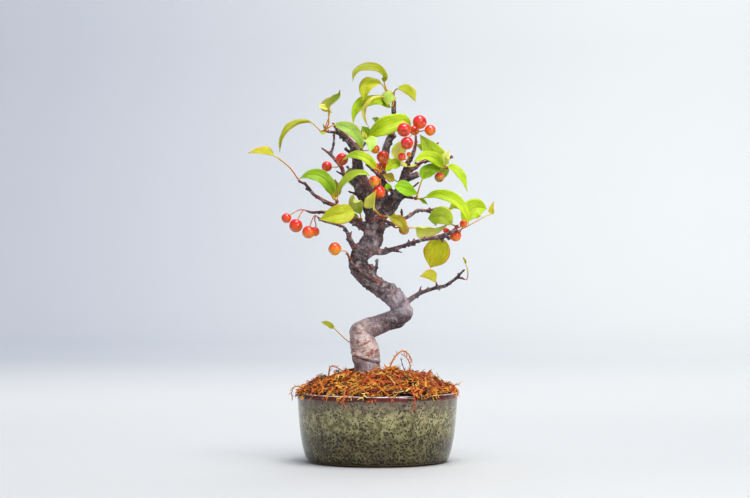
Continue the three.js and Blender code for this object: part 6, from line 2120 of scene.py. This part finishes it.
@dataclass
class Harvest:
    """All the bunches of fruit with their stalks."""

    sides: int = 32
    stalk_radius: float = 0.4
    dimple: float = 0.62
    scar_ring: float = 0.4
    scar_width: float = 0.08
    stalk_near: int = 0xC85A1C
    stalk_far: int = 0xC0A838
    profile: tuple = (
        (0.05, -0.70), (0.13, -0.76), (0.28, -0.84), (0.46, -0.84), (0.66, -0.74), (0.84, -0.52),
        (0.96, -0.22), (1.0, 0.06), (0.97, 0.32), (0.86, 0.58), (0.68, 0.78), (0.52, 0.88),
        (0.42, 0.905), (0.36, 0.89), (0.33, 0.84), (0.30, 0.845), (0.22, 0.84), (0.16, 0.80),
        (0.10, 0.79), (0.05, 0.83),
    )

    def berry(self) -> Mesh:
        """Model one fruit, one metre in radius, with its scar along +Z."""
        return kept_mesh(turned("berry", list(self.profile), self.sides))

    def hung(self, copies: Copies, berry: Mesh, fruit: Fruit, root: Vector, foot: Vector) -> None:
        """Hang one fruit.

        Args:
            copies: Where the bunch is gathered.
            berry: The modelled fruit.
            fruit: Its place, size and colours.
            root: Where its stalk starts.
            foot: The middle of the wood behind that.
        """
        centre, radius = placed(fruit.at), fruit.radius * MM
        eye = Vector(fruit.eye).normalized()
        turn = Vector((0, 0, 1)).rotation_difference(eye).to_matrix()
        local = coordinates(berry)
        rows = local * radius @ np.array(turn.transposed()) + np.array(centre)
        copies.add(berry, rows, skin=self.blushed(fruit, local, rows - np.array(centre)))
        dimple = centre - eye * self.dimple * radius
        line = Line([root, *[placed(p) for p in fruit.stalk], dimple])
        thick = self.stalk_radius * MM
        drawn = [(foot, thick * 1.2)] + [(ring.place, thick) for ring in line.sampled(5)]
        drawn[-2] = (drawn[-2][0], thick * 1.15)
        mesh = kept_mesh(tubes("stalk", [drawn], 1))
        places = coordinates(mesh)
        share = np.linalg.norm(places - np.array(centre), axis=1) / max((centre - foot).length, 1e-4)
        share = np.clip(share, 0, 1)[:, None]
        fade = np.clip(1.6 - share * 2, 0, 1)
        colour = blended(light_of(self.stalk_near), light_of(self.stalk_far), fade)
        copies.add(mesh, places, skin=opaque(colour))

    def blushed(self, fruit: Fruit, local: np.ndarray, off: np.ndarray) -> np.ndarray:
        """Colour a fruit: redder above, paler below, with a dark ring round its scar.

        Args:
            fruit: The fruit.
            local: The modelled vertices, with the scar along +Z.
            off: The same vertices from the fruit's middle, in place.

        Returns:
            A colour for each vertex.
        """
        skin = fruit.ripeness.value
        up = off[:, 2:3] / (fruit.radius * MM)
        colour = blended(light_of(skin.shade), light_of(skin.sun), np.clip(up * 1.1 + 0.5, 0, 1))
        ring = np.hypot(local[:, 0], local[:, 1])[:, None]
        front = local[:, 2:3] > 0.7
        mark = np.exp(-(((ring - self.scar_ring) / self.scar_width) ** 2)) * front
        return opaque(blended(colour, light_of(skin.scar), np.clip(mark, 0, 1) * 0.85))

    def dress(self) -> None:
        """Build every bunch."""
        material = FruitSkin().material()
        berry = self.berry()
        for bunch in BUNCHES:
            _, root = start_of(bunch, len(bunch.fruits) > 1)
            foot = footing(bunch)
            copies = Copies()
            for fruit in bunch.fruits:
                self.hung(copies, berry, fruit, root, foot)
            finish_piece(copies.piece(f"{bunch.name}_ripe"), material, "fruit", bunch.name)


@dataclass
class Studio:
    """A pale sweep, soft lights and the eye-level camera."""

    lens: float = 106.3
    sensor: float = 36.0
    world: int = 0xE4ECF6
    world_strength: float = 0.74
    floor_size: tuple = (8, 4.4)
    floor_middle: float = -0.3
    curve_radius: float = 0.5
    curve_steps: int = 16
    wall_height: float = 2.5
    tree: tuple = (0, 0, 0.14)
    wall: tuple = (0.3, 2.4, 1.4)

    def sweep(self) -> None:
        """Model the floor that curves up into the backdrop."""
        cleared()
        bpy.ops.mesh.primitive_plane_add(size=1, location=(0, 0, 0))
        floor = bpy.context.object
        floor.name = "sweep"
        floor.scale = (*self.floor_size, 1)
        floor.location = (0, self.floor_middle, 0)
        bpy.ops.object.transform_apply(location=True, rotation=True, scale=True)
        bpy.ops.object.mode_set(mode="EDIT")
        shape = bmesh.from_edit_mesh(floor.data)
        for edge in shape.edges:
            edge.select_set(all(v.co.y > 0.5 for v in edge.verts))
        bmesh.update_edit_mesh(floor.data)
        steps = self.curve_steps
        stride = math.pi / 2 * self.curve_radius / steps
        for step in range(steps):
            turn = math.pi / 2 * (step + 0.5) / steps
            rise = (0, stride * math.cos(turn), stride * math.sin(turn))
            bpy.ops.mesh.extrude_region_move(TRANSFORM_OT_translate={"value": rise})
        bpy.ops.mesh.extrude_region_move(TRANSFORM_OT_translate={"value": (0, 0, self.wall_height)})
        bpy.ops.object.mode_set(mode="OBJECT")
        bpy.ops.object.shade_smooth()
        floor.data.materials.append(Paper().material())

    def light(self, name: str, place: tuple, aim: tuple, size: float, power: float, tone: int) -> None:
        """Hang one softbox.

        Args:
            name: The light's name.
            place: Where it hangs, in metres.
            aim: What it points at.
            size: Its side, in metres.
            power: Its power in watts.
            tone: Its colour.
        """
        cleared()
        bpy.ops.object.light_add(type="AREA", location=place)
        lamp = bpy.context.object
        lamp.name = name
        lamp.data.size = size
        lamp.data.energy = power
        lamp.data.color = linear(tone)
        lamp.rotation_euler = (Vector(aim) - Vector(place)).to_track_quat("-Z", "Y").to_euler()

    def build(self) -> None:
        """Set the stage."""
        scene = bpy.context.scene
        scene.view_settings.view_transform = "Standard"
        world = bpy.data.worlds.new("studio")
        scene.world = world
        world.use_nodes = True
        ground = world.node_tree.nodes["Background"]
        ground.inputs["Color"].default_value = (*linear(self.world), 1)
        ground.inputs["Strength"].default_value = self.world_strength
        self.sweep()
        self.light("softbox_top", (0.15, -0.25, 1.1), self.tree, 0.6, 14, 0xFFFFFF)
        self.light("softbox_left", (-1.1, -0.9, 0.5), self.tree, 0.8, 1.3, 0xF4F8FF)
        self.light("softbox_right", (0.9, -0.9, 0.7), self.tree, 0.5, 10, 0xFFFBF4)
        self.light("softbox_wall", (0.7, 0.9, 2.0), self.wall, 1.0, 50, 0xFFFDFA)
        eye = (EYE_X * MM, -VIEW_DISTANCE * MM, EYE_Z * MM)
        bpy.ops.object.camera_add(location=eye, rotation=(math.pi / 2, 0, 0))
        camera = bpy.context.object
        camera.data.sensor_width = self.sensor
        camera.data.lens = self.lens
        camera.data.clip_end = 20
        scene.camera = camera


def main() -> None:
    """Build the bonsai and its studio in order."""
    logging.basicConfig(level=logging.INFO, format="%(name)s %(message)s")
    Studio().build()
    for part in (Pot(), Filling(), Moss(), Wood(), Foliage(), Harvest()):
        part.dress()
    cleared()


if __name__ == "__main__":
    main()
